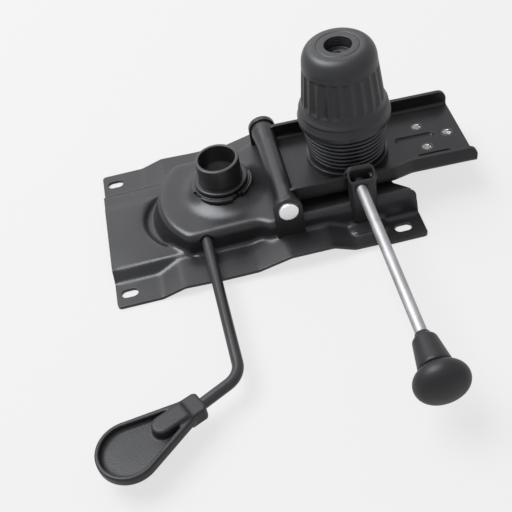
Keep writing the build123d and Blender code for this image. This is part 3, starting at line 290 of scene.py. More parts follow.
# %% Node group: sprayed skin
skin, given, result = group(
    "sprayed_skin", {"Peel scale": 700.0, "Patch scale": 18.0},
    {"Height": "NodeSocketFloat", "Patch": "NodeSocketFloat", "Speck": "NodeSocketFloat"})
place = node_of(skin, "ShaderNodeTexCoord")
peel = node_of(skin, "ShaderNodeTexNoise")
peel.inputs["Detail"].default_value = 2.0
patch = node_of(skin, "ShaderNodeTexNoise")
patch.inputs["Detail"].default_value = 5.0
patch.inputs["Roughness"].default_value = 0.6
speck = node_of(skin, "ShaderNodeTexVoronoi")
speck.inputs["Scale"].default_value = 420.0
dots = node_of(skin, "ShaderNodeMapRange")
dots.inputs["From Min"].default_value = 0.16
dots.inputs["From Max"].default_value = 0.05
link(skin, place.outputs["Object"], peel.inputs["Vector"])
link(skin, given.outputs["Peel scale"], peel.inputs["Scale"])
link(skin, place.outputs["Object"], patch.inputs["Vector"])
link(skin, given.outputs["Patch scale"], patch.inputs["Scale"])
link(skin, place.outputs["Object"], speck.inputs["Vector"])
link(skin, speck.outputs["Distance"], dots.inputs["Value"])
link(skin, peel.outputs["Fac"], result.inputs["Height"])
link(skin, patch.outputs["Fac"], result.inputs["Patch"])
link(skin, dots.outputs["Result"], result.inputs["Speck"])
print("group:", skin.name)

# %% [markdown]
# Bar that is pulled through a die, and a nut that is turned on a lathe, carry fine lines
# one way. They are noise stretched along one axis: the group takes the three scales, so
# that each material can lay its lines along its own piece.

# %% Node group: drawn lines
lines, given, result = group(
    "drawn_lines", {"Across X": 900.0, "Across Y": 900.0, "Across Z": 900.0},
    {"Height": "NodeSocketFloat", "Tone": "NodeSocketFloat"})
place = node_of(lines, "ShaderNodeTexCoord")
scales = node_of(lines, "ShaderNodeCombineXYZ")
stretched = node_of(lines, "ShaderNodeVectorMath", operation="MULTIPLY")
grain = node_of(lines, "ShaderNodeTexNoise")
grain.inputs["Scale"].default_value = 1.0
grain.inputs["Detail"].default_value = 3.0
tone = node_of(lines, "ShaderNodeTexNoise")
tone.inputs["Scale"].default_value = 0.12
tone.inputs["Detail"].default_value = 4.0
for axis in "XYZ":
    link(lines, given.outputs["Across " + axis], scales.inputs[axis])
link(lines, place.outputs["Object"], stretched.inputs[0])
link(lines, scales.outputs["Vector"], stretched.inputs[1])
link(lines, stretched.outputs["Vector"], grain.inputs["Vector"])
link(lines, stretched.outputs["Vector"], tone.inputs["Vector"])
link(lines, grain.outputs["Fac"], result.inputs["Height"])
link(lines, tone.outputs["Fac"], result.inputs["Tone"])
print("group:", lines.name)

# %% [markdown]
# A plastic mould is etched, so the moulded face comes out with a fine pebble grain.
# Voronoi cells give the pebbles, and noise keeps them from looking regular.

# %% Node group: mould grain
grained, given, result = group(
    "mould_grain", {"Scale": 1500.0}, {"Height": "NodeSocketFloat", "Patch": "NodeSocketFloat"})
place = node_of(grained, "ShaderNodeTexCoord")
pebbles = node_of(grained, "ShaderNodeTexVoronoi", feature="SMOOTH_F1")
clouds = node_of(grained, "ShaderNodeTexNoise")
clouds.inputs["Scale"].default_value = 30.0
clouds.inputs["Detail"].default_value = 6.0
link(grained, place.outputs["Object"], pebbles.inputs["Vector"])
link(grained, given.outputs["Scale"], pebbles.inputs["Scale"])
link(grained, place.outputs["Object"], clouds.inputs["Vector"])
link(grained, pebbles.outputs["Distance"], result.inputs["Height"])
link(grained, clouds.outputs["Fac"], result.inputs["Patch"])
print("group:", grained.name)

# %% [markdown]
# A material joins these effects. The helpers below keep each material short: one places
# a group, one mixes two colours by a mask, one turns a mask into a range of roughness,
# and one lays a fine height on top of the rounded edges.

# %% Helpers for materials
PAINTED_BLUE_SHEEN = (0.92, 0.935, 1.0, 1)      # painted sheen: the reflections of the black surfaces are tinted slightly blue
COLOUR_PATCHES = (0.35, 0.7)            # the noise between these turns one colour into the other
METAL_PATCHES = (0.35, 0.65)
GLOSS_PATCHES = (0.3, 0.7)              # and between these it turns the surface duller


class Finish:
    """A material under construction, with its shader and rounded edges."""

    def __init__(self, name, radius):
        self.material = bpy.data.materials.new(name)
        self.material.use_nodes = True
        self.tree = self.material.node_tree
        self.shader = self.tree.nodes["Principled BSDF"]
        self.edge = self.use(edges, Radius=radius)
        self.normal = self.edge.outputs["Normal"]

    def use(self, made, **values):
        """Place a node group in the material, with its own values."""
        placed = node_of(self.tree, "ShaderNodeGroup", node_tree=made)
        for label, value in values.items():
            placed.inputs[label.replace("_", " ")].default_value = value
        return placed

    def span(self, mask, low, high, start=0.0, end=1.0):
        """Turn a mask into a range of values."""
        ranged = node_of(self.tree, "ShaderNodeMapRange")
        ranged.inputs["From Min"].default_value = start
        ranged.inputs["From Max"].default_value = end
        ranged.inputs["To Min"].default_value = low
        ranged.inputs["To Max"].default_value = high
        link(self.tree, mask, ranged.inputs["Value"])
        return ranged.outputs["Result"]

    def mix(self, mask, first, second):
        """Mix two colours, or a colour socket and a colour, by a mask."""
        mixed = node_of(self.tree, "ShaderNodeMix", data_type="RGBA")
        link(self.tree, mask, mixed.inputs["Factor"])
        for socket, value in ((mixed.inputs[6], first), (mixed.inputs[7], second)):
            if isinstance(value, tuple):
                socket.default_value = (*value, 1)
            else:
                link(self.tree, value, socket)
        return mixed.outputs[2]

    def bump(self, height, distance):
        """Lay a fine height over the normal so far."""
        relief = node_of(self.tree, "ShaderNodeBump")
        relief.inputs["Distance"].default_value = distance
        relief.inputs["Strength"].default_value = 1.0
        link(self.tree, height, relief.inputs["Height"])
        link(self.tree, self.normal, relief.inputs["Normal"])
        self.normal = relief.outputs["Normal"]

    def done(self, colour, roughness, metallic=0.0, specular=0.5):
        """Join colour, roughness and normal to the shader.

        With metallic set to None, the socket keeps what the material has joined to it.
        """
        link(self.tree, colour, self.shader.inputs["Base Color"])
        link(self.tree, roughness, self.shader.inputs["Roughness"])
        link(self.tree, self.normal, self.shader.inputs["Normal"])
        if metallic is not None:
            self.shader.inputs["Metallic"].default_value = metallic
        if metallic == 0.0:
            # painted sheen: a blue tint on the reflections of every non-metal
            self.shader.inputs["Specular Tint"].default_value = PAINTED_BLUE_SHEEN
        self.shader.inputs["Specular IOR Level"].default_value = specular
        print("material:", self.material.name)
        return self.material


print("sheen of the blacks:", PAINTED_BLUE_SHEEN[:3])

# %% [markdown]
# Most of the mechanism is pressed steel with a black powder coat: nearly black, satin,
# a little uneven in gloss, and grey along the edges, partly where it has rubbed against
# its neighbours in the crate and partly as a painted highlight. One function makes all
# the painted finishes, which differ in tone, in gloss, in the size of the orange peel and
# in how round their edges are; the arm's darker copy is painted shade.

# %% Materials: black paints
PALE_WEAR_DUST_HIGHLIGHT = 0.06                # how much paler a speck of dust is, and an edge, which is worn and has a painted highlight
PEEL_DEPTH = 0.03 * MM
FINE_PEEL_DEPTH = 0.02 * MM


def black_paint(name, radius, tone, gloss, peel_scale, edge_wear_and_highlight, shine=0.40):
    """Powder coat: tone is its blackness, gloss its mean roughness, and the edge share how much paler its
    edges get, worn and with a painted highlight.
    """
    paint = Finish(name, radius)
    sprayed = paint.use(skin, Peel_scale=peel_scale)
    deep = (tone, tone, tone * 1.05)
    pale = (tone * 1.7, tone * 1.7, tone * 1.8)
    wear_dust_and_highlight = (tone + PALE_WEAR_DUST_HIGHLIGHT, tone + PALE_WEAR_DUST_HIGHLIGHT, tone + PALE_WEAR_DUST_HIGHLIGHT * 1.05)
    colour = paint.mix(paint.span(sprayed.outputs["Patch"], 0.0, 1.0, *COLOUR_PATCHES), deep, pale)
    # wear and painted highlight: the rounded edges are painted paler
    colour = paint.mix(paint.span(paint.edge.outputs["Edge"], 0.0, edge_wear_and_highlight), colour, wear_dust_and_highlight)
    colour = paint.mix(paint.span(sprayed.outputs["Speck"], 0.0, 0.05), colour, wear_dust_and_highlight)
    roughness = paint.span(sprayed.outputs["Patch"], gloss - 0.07, gloss + 0.09, *GLOSS_PATCHES)
    paint.bump(sprayed.outputs["Height"], PEEL_DEPTH)
    return paint.done(colour, roughness, specular=shine)


black_enamel = black_paint("black_enamel", 1.1 * MM, 0.009, 0.31, 700.0, 0.35)
plate_enamel = black_paint("plate_enamel", 0.8 * MM, 0.009, 0.30, 600.0, 0.20)
# painted shade: the arm's paint is a darker, less shiny copy of the plate's
shaded_arm_enamel = black_paint("shaded_arm_enamel", 0.8 * MM, 0.007, 0.31, 600.0, 0.20, shine=0.27)
lever_black = black_paint("lever_black", 0.8 * MM, 0.013, 0.34, 1100.0, 0.30)

# %% [markdown]
# The taper socket was turned before it was painted. The cutter left fine rings deep in
# its bore, which show as arcs of light. A wave along the height gives them as a bump and
# as pale crests, a painted highlight, and a mask keeps them inside the bore: close to
# the axis and below the mouth.

# %% Material: socket with a turned bore
RINGS_WITHIN = (0.43, 0.45)          # shares of the socket's width: full rings, none
RINGS_BELOW = (17 * MM, 14 * MM)     # depths under the rim: full rings, none


def turned_bore(name, tone, gloss, ring_pitch, ring_depth):
    """Black paint over rings in a bore around the socket's axis."""
    bore = Finish(name, 0.9 * MM)
    sprayed = bore.use(skin, Peel_scale=900.0)
    socket_low, socket_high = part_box("taper_socket")
    axis = (socket_low + socket_high) / 2
    place = node_of(bore.tree, "ShaderNodeTexCoord")
    parts = node_of(bore.tree, "ShaderNodeSeparateXYZ")
    link(bore.tree, place.outputs["Object"], parts.inputs[0])
    off_x = math_node(bore.tree, "SUBTRACT", parts.outputs["X"], axis.x)
    off_y = math_node(bore.tree, "SUBTRACT", parts.outputs["Y"], axis.y)
    radius = math_node(bore.tree, "SQRT", math_node(
        bore.tree, "ADD", math_node(bore.tree, "MULTIPLY", off_x, off_x),
        math_node(bore.tree, "MULTIPLY", off_y, off_y)))
    width = socket_high.x - socket_low.x
    rim = socket_high.z
    inside = bore.span(radius, 1.0, 0.0, width * RINGS_WITHIN[0], width * RINGS_WITHIN[1])
    deep = bore.span(parts.outputs["Z"], 1.0, 0.0, rim - RINGS_BELOW[0], rim - RINGS_BELOW[1])
    turns = math_node(bore.tree, "MULTIPLY", parts.outputs["Z"], 2 * math.pi / ring_pitch)
    wave = math_node(bore.tree, "SINE", turns)
    rings = math_node(bore.tree, "MULTIPLY", wave, math_node(bore.tree, "MULTIPLY", inside, deep))
    dark, pale = (tone, tone, tone), (tone * 6, tone * 6, tone * 6)
    colour = bore.mix(bore.span(sprayed.outputs["Patch"], 0.0, 0.3, *COLOUR_PATCHES), dark, pale)
    # painted highlight: the crests of the rings are painted pale
    colour = bore.mix(bore.span(rings, 0.0, 0.5, 0.0, 1.0), colour, pale)
    bore.bump(sprayed.outputs["Height"], FINE_PEEL_DEPTH)
    bore.bump(rings, ring_depth)
    roughness = bore.span(sprayed.outputs["Patch"], gloss - 0.06, gloss + 0.08, *GLOSS_PATCHES)
    return bore.done(colour, roughness)


socket_black = turned_bore("socket_black", 0.010, 0.32, 1.6 * MM, 0.3 * MM)

# %% [markdown]
# Spring wire is lacquered after it is wound. The lacquer is darker than the powder coat
# and has a stronger sheen, and its patches are smaller, since a wire shows only a narrow
# strip of them.

# %% Material: lacquered wire
wire = Finish("spring_black", 0.4 * MM)
sprayed = wire.use(skin, Peel_scale=900.0, Patch_scale=60.0)
patches_of_paint = wire.span(sprayed.outputs["Patch"], 0.0, 1.0, *COLOUR_PATCHES)
colour = wire.mix(patches_of_paint, (0.006, 0.006, 0.0065), (0.011, 0.011, 0.012))
wire.bump(sprayed.outputs["Height"], FINE_PEEL_DEPTH)
roughness = wire.span(sprayed.outputs["Patch"], 0.33, 0.42, *GLOSS_PATCHES)
spring_black = wire.done(colour, roughness, specular=0.6)

# %% [markdown]
# The pivot bolt and its nut, the cross pin and the lever's clip are zinc plated, which
# is pale and slightly blotchy. The lock rod is drawn bar, greyer, with a dull shine and
# with its lines along it.

# %% Materials: bare metals
def bright_metal(name, radius, dark, light, rough_low, rough_high, across, depth):
    """Bare or plated steel with drawn lines."""
    metal = Finish(name, radius)
    drawn = metal.use(lines, Across_X=across[0], Across_Y=across[1], Across_Z=across[2])
    sprayed = metal.use(skin, Patch_scale=70.0)
    colour = metal.mix(metal.span(sprayed.outputs["Patch"], 0.0, 1.0, *METAL_PATCHES), dark, light)
    colour = metal.mix(metal.span(drawn.outputs["Tone"], 0.0, 0.35, *COLOUR_PATCHES), colour, dark)
    metal.bump(drawn.outputs["Height"], depth)
    roughness = metal.span(sprayed.outputs["Patch"], rough_low, rough_high, *GLOSS_PATCHES)
    return metal.done(colour, roughness, metallic=1.0)


zinc = bright_metal("zinc", 0.5 * MM, (0.86, 0.86, 0.87), (0.97, 0.97, 0.98), 0.30, 0.46,
                    (600, 600, 90), 0.01 * MM)
bright_rod = bright_metal("bright_rod", 0.5 * MM, (0.30, 0.30, 0.31), (0.38, 0.38, 0.40), 0.50, 0.62,
                          (1500, 14, 1500), 0.008 * MM)

# %% [markdown]
# The knobs and the paddle are moulded in black plastic. It is duller than the paint,
# with a fine grain, and paler where hands have polished its edges. The paddle and the
# lock knob are of a softer kind that shines less than the tension knob.

# %% Materials: plastic and rubber
def moulded(name, radius, tone, gloss, grain_scale, grain_depth, specular):
    """Moulded plastic with etched grain."""
    plastic = Finish(name, radius)
    grain = plastic.use(grained, Scale=grain_scale)
    deep = (tone, tone, tone * 1.04)
    pale = (tone * 1.5, tone * 1.5, tone * 1.56)
    colour = plastic.mix(plastic.span(grain.outputs["Patch"], 0.0, 1.0, *COLOUR_PATCHES), deep, pale)
    colour = plastic.mix(plastic.span(plastic.edge.outputs["Edge"], 0.0, 0.3), colour, (0.06, 0.06, 0.063))
    plastic.bump(grain.outputs["Height"], grain_depth)
    roughness = plastic.span(grain.outputs["Patch"], gloss - 0.06, gloss + 0.08, *GLOSS_PATCHES)
    return plastic.done(colour, roughness, specular=specular)


black_plastic = moulded("black_plastic", 0.7 * MM, 0.010, 0.40, 1700.0, 0.05 * MM, 0.46)
soft_plastic = moulded("soft_plastic", 0.8 * MM, 0.011, 0.43, 1300.0, 0.07 * MM, 0.28)
rubber = moulded("rubber", 0.6 * MM, 0.014, 0.75, 900.0, 0.1 * MM, 0.3)

# %% [markdown]
# The nuts and the threaded bolt are steel with a dark, slightly oily surface. The weld
# nuts in the arm were sprayed with it: their tops are black, and only the threads, which
# were plugged, show metal. The face's own direction tells the two apart.

# %% Materials: oiled steel and half sprayed nuts
oiled_steel = bright_metal("oiled_steel", 0.4 * MM, (0.10, 0.10, 0.10), (0.22, 0.22, 0.22), 0.30, 0.50,
                           (700, 700, 900), 0.01 * MM)
nut = Finish("sprayed_nut", 0.4 * MM)
sprayed = nut.use(skin)
facing = node_of(nut.tree, "ShaderNodeNewGeometry")
parts = node_of(nut.tree, "ShaderNodeSeparateXYZ")
link(nut.tree, facing.outputs["True Normal"], parts.inputs[0])
covered = nut.span(parts.outputs["Z"], 0.0, 1.0, 0.75, 0.9)
patches_of_oil = nut.span(sprayed.outputs["Patch"], 0.0, 1.0, *METAL_PATCHES)
bare = nut.mix(patches_of_oil, (0.05, 0.05, 0.05), (0.12, 0.12, 0.12))
colour = nut.mix(covered, bare, (0.014, 0.014, 0.015))
nut.bump(sprayed.outputs["Height"], FINE_PEEL_DEPTH)
link(nut.tree, nut.span(covered, 1.0, 0.0), nut.shader.inputs["Metallic"])
roughness = nut.span(sprayed.outputs["Patch"], 0.26, 0.42, *GLOSS_PATCHES)
sprayed_nut = nut.done(colour, roughness, metallic=None)

# %% [markdown]
# The record says which finish each CAD node has. A few nodes get a kind of their own:
# the plate's and the arm's folds are rounded in their meshes, so their paints round the
# edges less, and the arm's paint is darker and duller than the plate's: painted shade.

# %% Give every node its finish
FINISHES = {
    "black_enamel": black_enamel, "socket_black": socket_black, "lever_black": lever_black,
    "spring_black": spring_black, "zinc": zinc, "bright_rod": bright_rod,
    "black_plastic": black_plastic, "rubber": rubber,
}
for entry in frame["record"]["subparts"]:
    node = nodes[entry["node"]]
    node.data.materials.clear()
    node.data.materials.append(FINISHES[entry["material_slot"]])
for name, finish in (("seat_plate", plate_enamel), ("tilt_arm", shaded_arm_enamel), ("arm_weld_nuts", sprayed_nut),
                     ("knob_nut", oiled_steel), ("tension_bolt", oiled_steel), ("lever_paddle", soft_plastic),
                     ("lock_knob", soft_plastic)):
    nodes[name].data.materials[0] = finish

# %% [markdown]
# What repeats or follows a rule is made with Geometry Nodes. Each tree is built by the
# script and has named inputs. Its result is turned into a plain mesh, so nothing live
# is left on a finished piece.

# %% Helpers for Geometry Nodes
def geometry_tree(name, inputs):
    """An empty geometry tree with a geometry socket and float or integer inputs."""
    made = bpy.data.node_groups.new(name, "GeometryNodeTree")
    made.interface.new_socket(name="Geometry", in_out="INPUT", socket_type="NodeSocketGeometry")
    for label, value in inputs.items():
        kind = "NodeSocketInt" if isinstance(value, int) else "NodeSocketFloat"
        made.interface.new_socket(name=label, in_out="INPUT", socket_type=kind).default_value = value
    made.interface.new_socket(name="Geometry", in_out="OUTPUT", socket_type="NodeSocketGeometry")
    return made, made.nodes.new("NodeGroupInput"), made.nodes.new("NodeGroupOutput")


def finish_tree(tree, result, geometry, material):
    """End a tree with real geometry, smooth shading and its material."""
    smooth = node_of(tree, "GeometryNodeSetShadeSmooth")
    real = node_of(tree, "GeometryNodeRealizeInstances")
    paint = node_of(tree, "GeometryNodeSetMaterial")
    paint.inputs["Material"].default_value = material
    link(tree, geometry, smooth.inputs["Geometry"])
    link(tree, smooth.outputs["Geometry"], real.inputs["Geometry"])
    link(tree, real.outputs["Geometry"], paint.inputs["Geometry"])
    link(tree, paint.outputs["Geometry"], result.inputs["Geometry"])


def baked(name, tree, base_mesh, values, material):
    """Run a tree on a mesh and keep its result as a plain mesh object."""
    holder = bpy.data.objects.new(name + "_maker", base_mesh)
    scene.collection.objects.link(holder)
    modifier = holder.modifiers.new("maker", "NODES")
    modifier.node_group = tree
    for item in tree.interface.items_tree:
        if item.in_out == "INPUT" and item.name in values:
            modifier[item.identifier] = values[item.name]
    bpy.context.view_layer.update()
    evaluated = holder.evaluated_get(bpy.context.evaluated_depsgraph_get())
    mesh = bpy.data.meshes.new_from_object(evaluated)
    bpy.data.objects.remove(holder)
    mesh.name = name
    mesh.materials.clear()
    mesh.materials.append(material)
    made = bpy.data.objects.new(name, mesh)
    scene.collection.objects.link(made)
    print("piece:", name, len(mesh.polygons), "faces")
    return made

# %% [markdown]
# The tension spring is wound from round wire. A helix is the simplest rule there is:
# the Curve Spiral node gives the line, and Curve to Mesh gives it the wire's thickness.
# The photograph shows seven coils, close together, a little wider at the top. The
# spring stands on its seat on the arm, and when the arm tilts it is pressed flat
# between the seat and the cup. A piece can follow one joint only, so it also stops short
# of the cup, by a little more than the 1.5 mm that the knob can press that down.

# %% Tension spring
SPRING_COILS = 7.0
SPRING_WIRE = 3.0 * MM
SPRING_WIDER = 0.4 * MM      # past the CAD spring, at the head
SPRING_TAPER = 3.6 * MM      # from the head's radius to the foot's
CUP_TRAVEL = 1.6 * MM        # room for the cup, which the knob can press down
seat_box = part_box("spring_seat")
cad_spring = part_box("tension_spring")
cup_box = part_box("thrust_cup")
axis_x = (seat_box[0].x + seat_box[1].x) / 2
top_radius = (cad_spring[1].x - cad_spring[0].x) / 2 - SPRING_WIRE / 2 + SPRING_WIDER
foot_z = cad_spring[0].z + SPRING_WIRE / 2
head_z = cad_spring[1].z - SPRING_WIRE / 2 - CUP_TRAVEL

coil, given, result = geometry_tree("wound_spring", {
    "Coils": 7.0, "Foot radius": 0.03, "Head radius": 0.03, "Height": 0.03, "Wire": 0.003})
line = node_of(coil, "GeometryNodeCurveSpiral")
line.inputs["Resolution"].default_value = 64
wire_section = node_of(coil, "GeometryNodeCurvePrimitiveCircle")
wire_section.inputs["Resolution"].default_value = 14
swept = node_of(coil, "GeometryNodeCurveToMesh")
swept.inputs["Fill Caps"].default_value = True
for label, target in (("Coils", "Rotations"), ("Foot radius", "Start Radius"),
                      ("Head radius", "End Radius"), ("Height", "Height")):
    link(coil, given.outputs[label], line.inputs[target])
link(coil, math_node(coil, "DIVIDE", given.outputs["Wire"], 2.0), wire_section.inputs["Radius"])
link(coil, line.outputs["Curve"], swept.inputs["Curve"])
link(coil, wire_section.outputs["Curve"], swept.inputs["Profile Curve"])
finish_tree(coil, result, swept.outputs["Mesh"], spring_black)

spring = baked("wound_spring", coil, bpy.data.meshes.new("empty"), {
    "Coils": SPRING_COILS, "Foot radius": top_radius - SPRING_TAPER, "Head radius": top_radius,
    "Height": head_z - foot_z, "Wire": SPRING_WIRE}, spring_black)
spring.data.transform(Matrix.Translation((axis_x, 0, foot_z)))
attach(spring, "arm")
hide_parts("tension_spring")
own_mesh(spring)

# %% [markdown]
# The tension knob is turned by hand to press the spring tighter. It is moulded, so every
# corner of its outline is soft. The outline is half a cut through the knob: the stepped
# skirt, the crown, the ring mark on top, the ribbed hole, the nut's pocket and the web
# that rests on the cup. It is drawn once as corners, rounded, and turned about the axis.

# %% Tension knob: outline
OUTLINE_STEP = 0.8 * MM
CORNER_REACH = 0.55 * MM
CORNER_STEPS = 4
DIVIDED_FROM = 26.0 * MM     # stretches further from the axis than this are divided
WEB_HOLE = 5.6 * MM
TOP_HOLE = 9.9 * MM
NUT_POCKET = 8.3 * MM
CROWN_FLAT = 17.5 * MM
CROWN_SIDE = 27.2 * MM
CROWN_DROP = 13.0 * MM
CROWN_STEPS = 14
CROWN_FULLNESS = 0.86        # below 1, the crown is fuller than an ellipse
SKIRT_WALL = 1.5 * MM
RING_MARK_DEPTH = 0.3 * MM
HOLE_RIBS = 5
RIB_PITCH = 1.5 * MM
RIB_DEPTH = 0.4 * MM
knob_low, knob_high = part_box("tension_knob")
nut_low, nut_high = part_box("knob_nut")
skirt_radius = (knob_high.x - knob_low.x) / 2
web = cup_box[1].z + 0.3 * MM    # the knob's web rests on the cup


def rounded(corners, reach):
    """A closed outline whose corners are rounded over a reach on both sides."""
    outline = []
    for i, corner in enumerate(corners):
        before, after = corners[i - 1], corners[(i + 1) % len(corners)]
        a = corner + (before - corner).normalized() * min(reach, (before - corner).length / 2.2)
        b = corner + (after - corner).normalized() * min(reach, (after - corner).length / 2.2)
        for step in range(CORNER_STEPS + 1):
            s = step / CORNER_STEPS
            outline.append(a * (1 - s) ** 2 + corner * (2 * s * (1 - s)) + b * s ** 2)
    return outline


def divided(outline, longest, wanted):
    """The outline with its long stretches divided where wanted."""
    made = []
    for i, start in enumerate(outline):
        end = outline[(i + 1) % len(outline)]
        count = max(1, round((end - start).length / longest)) if wanted(start, end) else 1
        made += [start.lerp(end, k / count) for k in range(count)]
    return made


base, top = knob_low.z, knob_high.z
side = [(skirt_radius - inwards * MM, base + height * MM) for inwards, height in (
    (0.8, 0), (0, 1.0), (0, 5.0), (0.5, 6.0), (1.9, 10.6), (1.4, 11.2),
    (1.7, 12.2), (3.2, 14.2), (4.1, 17.0))]
crown = []
for i in range(CROWN_STEPS + 1):
    bend = math.radians(90 * i / CROWN_STEPS)
    crown.append((CROWN_FLAT + (CROWN_SIDE - CROWN_FLAT) * math.cos(bend) ** CROWN_FULLNESS,
                  top - CROWN_DROP + CROWN_DROP * math.sin(bend)))
ring_floor = top - RING_MARK_DEPTH
ring_mark = [(15.9 * MM, top), (15.6 * MM, ring_floor), (15.1 * MM, ring_floor), (14.8 * MM, top)]
hole = []
for i in range(HOLE_RIBS):
    rib_top = top - 1.0 * MM - RIB_PITCH * i
    hole += [(TOP_HOLE, rib_top), (TOP_HOLE + RIB_DEPTH, rib_top - 0.5 * MM),
             (TOP_HOLE + RIB_DEPTH, rib_top - 0.9 * MM)]
hole_floor = nut_high.z - 0.2 * MM
skirt_inside = skirt_radius - SKIRT_WALL
inner = [(TOP_HOLE, hole_floor), (NUT_POCKET, hole_floor), (NUT_POCKET, nut_low.z), (WEB_HOLE, nut_low.z),
         (WEB_HOLE, web), (skirt_inside, web), (skirt_inside, base)]
corners = [Vector((r, z)) for r, z in side + crown + ring_mark + [(TOP_HOLE, top)] + hole + inner]
outline = divided(rounded(corners, CORNER_REACH), OUTLINE_STEP, lambda a, b: min(a.x, b.x) > DIVIDED_FROM)
print("knob outline:", len(outline), "points")

# %% [markdown]
# The 22 flutes round the grip keep the hand from slipping. They follow a rule, so
# Geometry Nodes press them in: a point sinks where it is close to the middle of a flute
# and between the flutes' two ends. Each flute is a scoop, deepest along its middle, so
# that only narrow ridges are left between them.

# %% Tension knob: flutes
KNOB_FLUTES = 22
KNOB_FLUTE_WIDTH = 7.0 * MM
KNOB_FLUTE_DEPTH = 1.35 * MM
KNOB_FLUTE_SOFT = 0.45 * MM
KNOB_FLUTE_FOOT = 19.0 * MM  # over the skirt's lower edge
KNOB_FLUTE_HEAD = 16.3 * MM  # under the top
SEGMENTS_PER_FLUTE = 14
PRESSED_FROM = 20.0 * MM     # points nearer the axis than this belong to no flute
grip, given, result = geometry_tree("fluted_grip", {
    "Flutes": 22.0, "Width": 0.005, "Depth": 0.001, "Soft": 0.0004,
    "Foot": 0.09, "Head": 0.11, "Axis X": 0.08})
where = node_of(grip, "GeometryNodeInputPosition")
parts = node_of(grip, "ShaderNodeSeparateXYZ")
link(grip, where.outputs["Position"], parts.inputs["Vector"])


def calc(operation, first, second=0.0):
    """A Math node of the grip's tree."""
    return math_node(grip, operation, first, second)


across_x = calc("SUBTRACT", parts.outputs["X"], given.outputs["Axis X"])
across_y = parts.outputs["Y"]
square = calc("ADD", calc("MULTIPLY", across_x, across_x), calc("MULTIPLY", across_y, across_y))
radius = calc("SQRT", square)
angle = calc("ARCTAN2", across_y, across_x)
turns = calc("MULTIPLY", calc("DIVIDE", angle, 2 * math.pi), given.outputs["Flutes"])
off_middle = calc("ABSOLUTE", calc("SUBTRACT", turns, calc("ROUND", turns)))
pitch = calc("DIVIDE", calc("MULTIPLY", radius, 2 * math.pi), given.outputs["Flutes"])
distance = calc("MULTIPLY", off_middle, pitch)


def over(edge):
    """0 below an edge and 1 above it, with a soft slope between."""
    ramp = node_of(grip, "ShaderNodeMapRange", interpolation_type="SMOOTHSTEP")
    link(grip, parts.outputs["Z"], ramp.inputs["Value"])
    link(grip, calc("SUBTRACT", edge, given.outputs["Soft"]), ramp.inputs["From Min"])
    link(grip, calc("ADD", edge, given.outputs["Soft"]), ramp.inputs["From Max"])
    return ramp.outputs["Result"]


off = calc("DIVIDE", distance, calc("DIVIDE", given.outputs["Width"], 2.0))
scoop = calc("MAXIMUM", calc("SUBTRACT", 1.0, calc("MULTIPLY", off, off)), 0.0)
under_head = calc("SUBTRACT", 1.0, over(given.outputs["Head"]))
sunk = given.outputs["Depth"]
for mask in (scoop, over(given.outputs["Foot"]), under_head, calc("GREATER_THAN", radius, PRESSED_FROM)):
    sunk = calc("MULTIPLY", sunk, mask)
share = calc("DIVIDE", sunk, radius)
inwards = node_of(grip, "ShaderNodeCombineXYZ")
link(grip, calc("MULTIPLY", calc("MULTIPLY", across_x, share), -1.0), inwards.inputs["X"])
link(grip, calc("MULTIPLY", calc("MULTIPLY", across_y, share), -1.0), inwards.inputs["Y"])
press = node_of(grip, "GeometryNodeSetPosition")
link(grip, given.outputs["Geometry"], press.inputs["Geometry"])
link(grip, inwards.outputs["Vector"], press.inputs["Offset"])
finish_tree(grip, result, press.outputs["Geometry"], black_plastic)


def turned(name, outline, axis_x, segments):
    """A closed outline of (radius, height) turned about a vertical axis."""
    made = bmesh.new()
    rings = []
    for i in range(segments):
        angle = 2 * math.pi * i / segments
        across, aside = math.cos(angle), math.sin(angle)
        rings.append([made.verts.new((axis_x + p.x * across, p.x * aside, p.y)) for p in outline])
    for i, ring in enumerate(rings):
        onward = rings[(i + 1) % segments]
        for k in range(len(ring)):
            after = (k + 1) % len(ring)
            made.faces.new((ring[k], onward[k], onward[after], ring[after]))
    bmesh.ops.recalc_face_normals(made, faces=made.faces)
    mesh = bpy.data.meshes.new(name)
    made.to_mesh(mesh)
    made.free()
    return mesh


blank = turned("knob_blank", outline, axis_x, KNOB_FLUTES * SEGMENTS_PER_FLUTE)
knob = baked("fluted_knob", grip, blank, {
    "Flutes": float(KNOB_FLUTES), "Width": KNOB_FLUTE_WIDTH, "Depth": KNOB_FLUTE_DEPTH,
    "Soft": KNOB_FLUTE_SOFT, "Foot": base + KNOB_FLUTE_FOOT, "Head": top - KNOB_FLUTE_HEAD,
    "Axis X": axis_x}, black_plastic)
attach(knob, "knob")
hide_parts("tension_knob")

# %% [markdown]
# The three weld nuts have a real thread, which shows as bright turns inside each hole.
# A thread is a helix too, so the spring's tree makes it again: fine wire, half sunk in
# the wall of the hole. The record's mounts say where each hole is and how it leans.

# %% Threads in the weld nuts
THREAD_PITCH = 1.25 * MM
THREAD_RIDGE = 0.7 * MM
threads = bmesh.new()
for mount in frame["record"]["mounts"]:
    if mount["kind"] != "threaded_hole":
        continue
    radius = mount["dims"]["r_mm"] * MM
    length = mount["dims"]["length_mm"] * MM - 2 * THREAD_RIDGE
    one_thread = baked("thread", coil, bpy.data.meshes.new("empty"), {
        "Coils": length / THREAD_PITCH, "Foot radius": radius, "Head radius": radius,
        "Height": length, "Wire": THREAD_RIDGE}, zinc)
    lean = Vector((0, 0, 1)).rotation_difference(Vector(mount["axis"])).to_matrix().to_4x4()
    to_hole = Matrix.Translation(mount["pos_m"])
    one_thread.data.transform(to_hole @ lean @ Matrix.Translation((0, 0, -length / 2)))
    threads.from_mesh(one_thread.data)
    bpy.data.objects.remove(one_thread)
thread_mesh = bpy.data.meshes.new("nut_threads")
threads.to_mesh(thread_mesh)
threads.free()
thread_mesh.materials.append(zinc)
thread_piece = bpy.data.objects.new("nut_threads", thread_mesh)
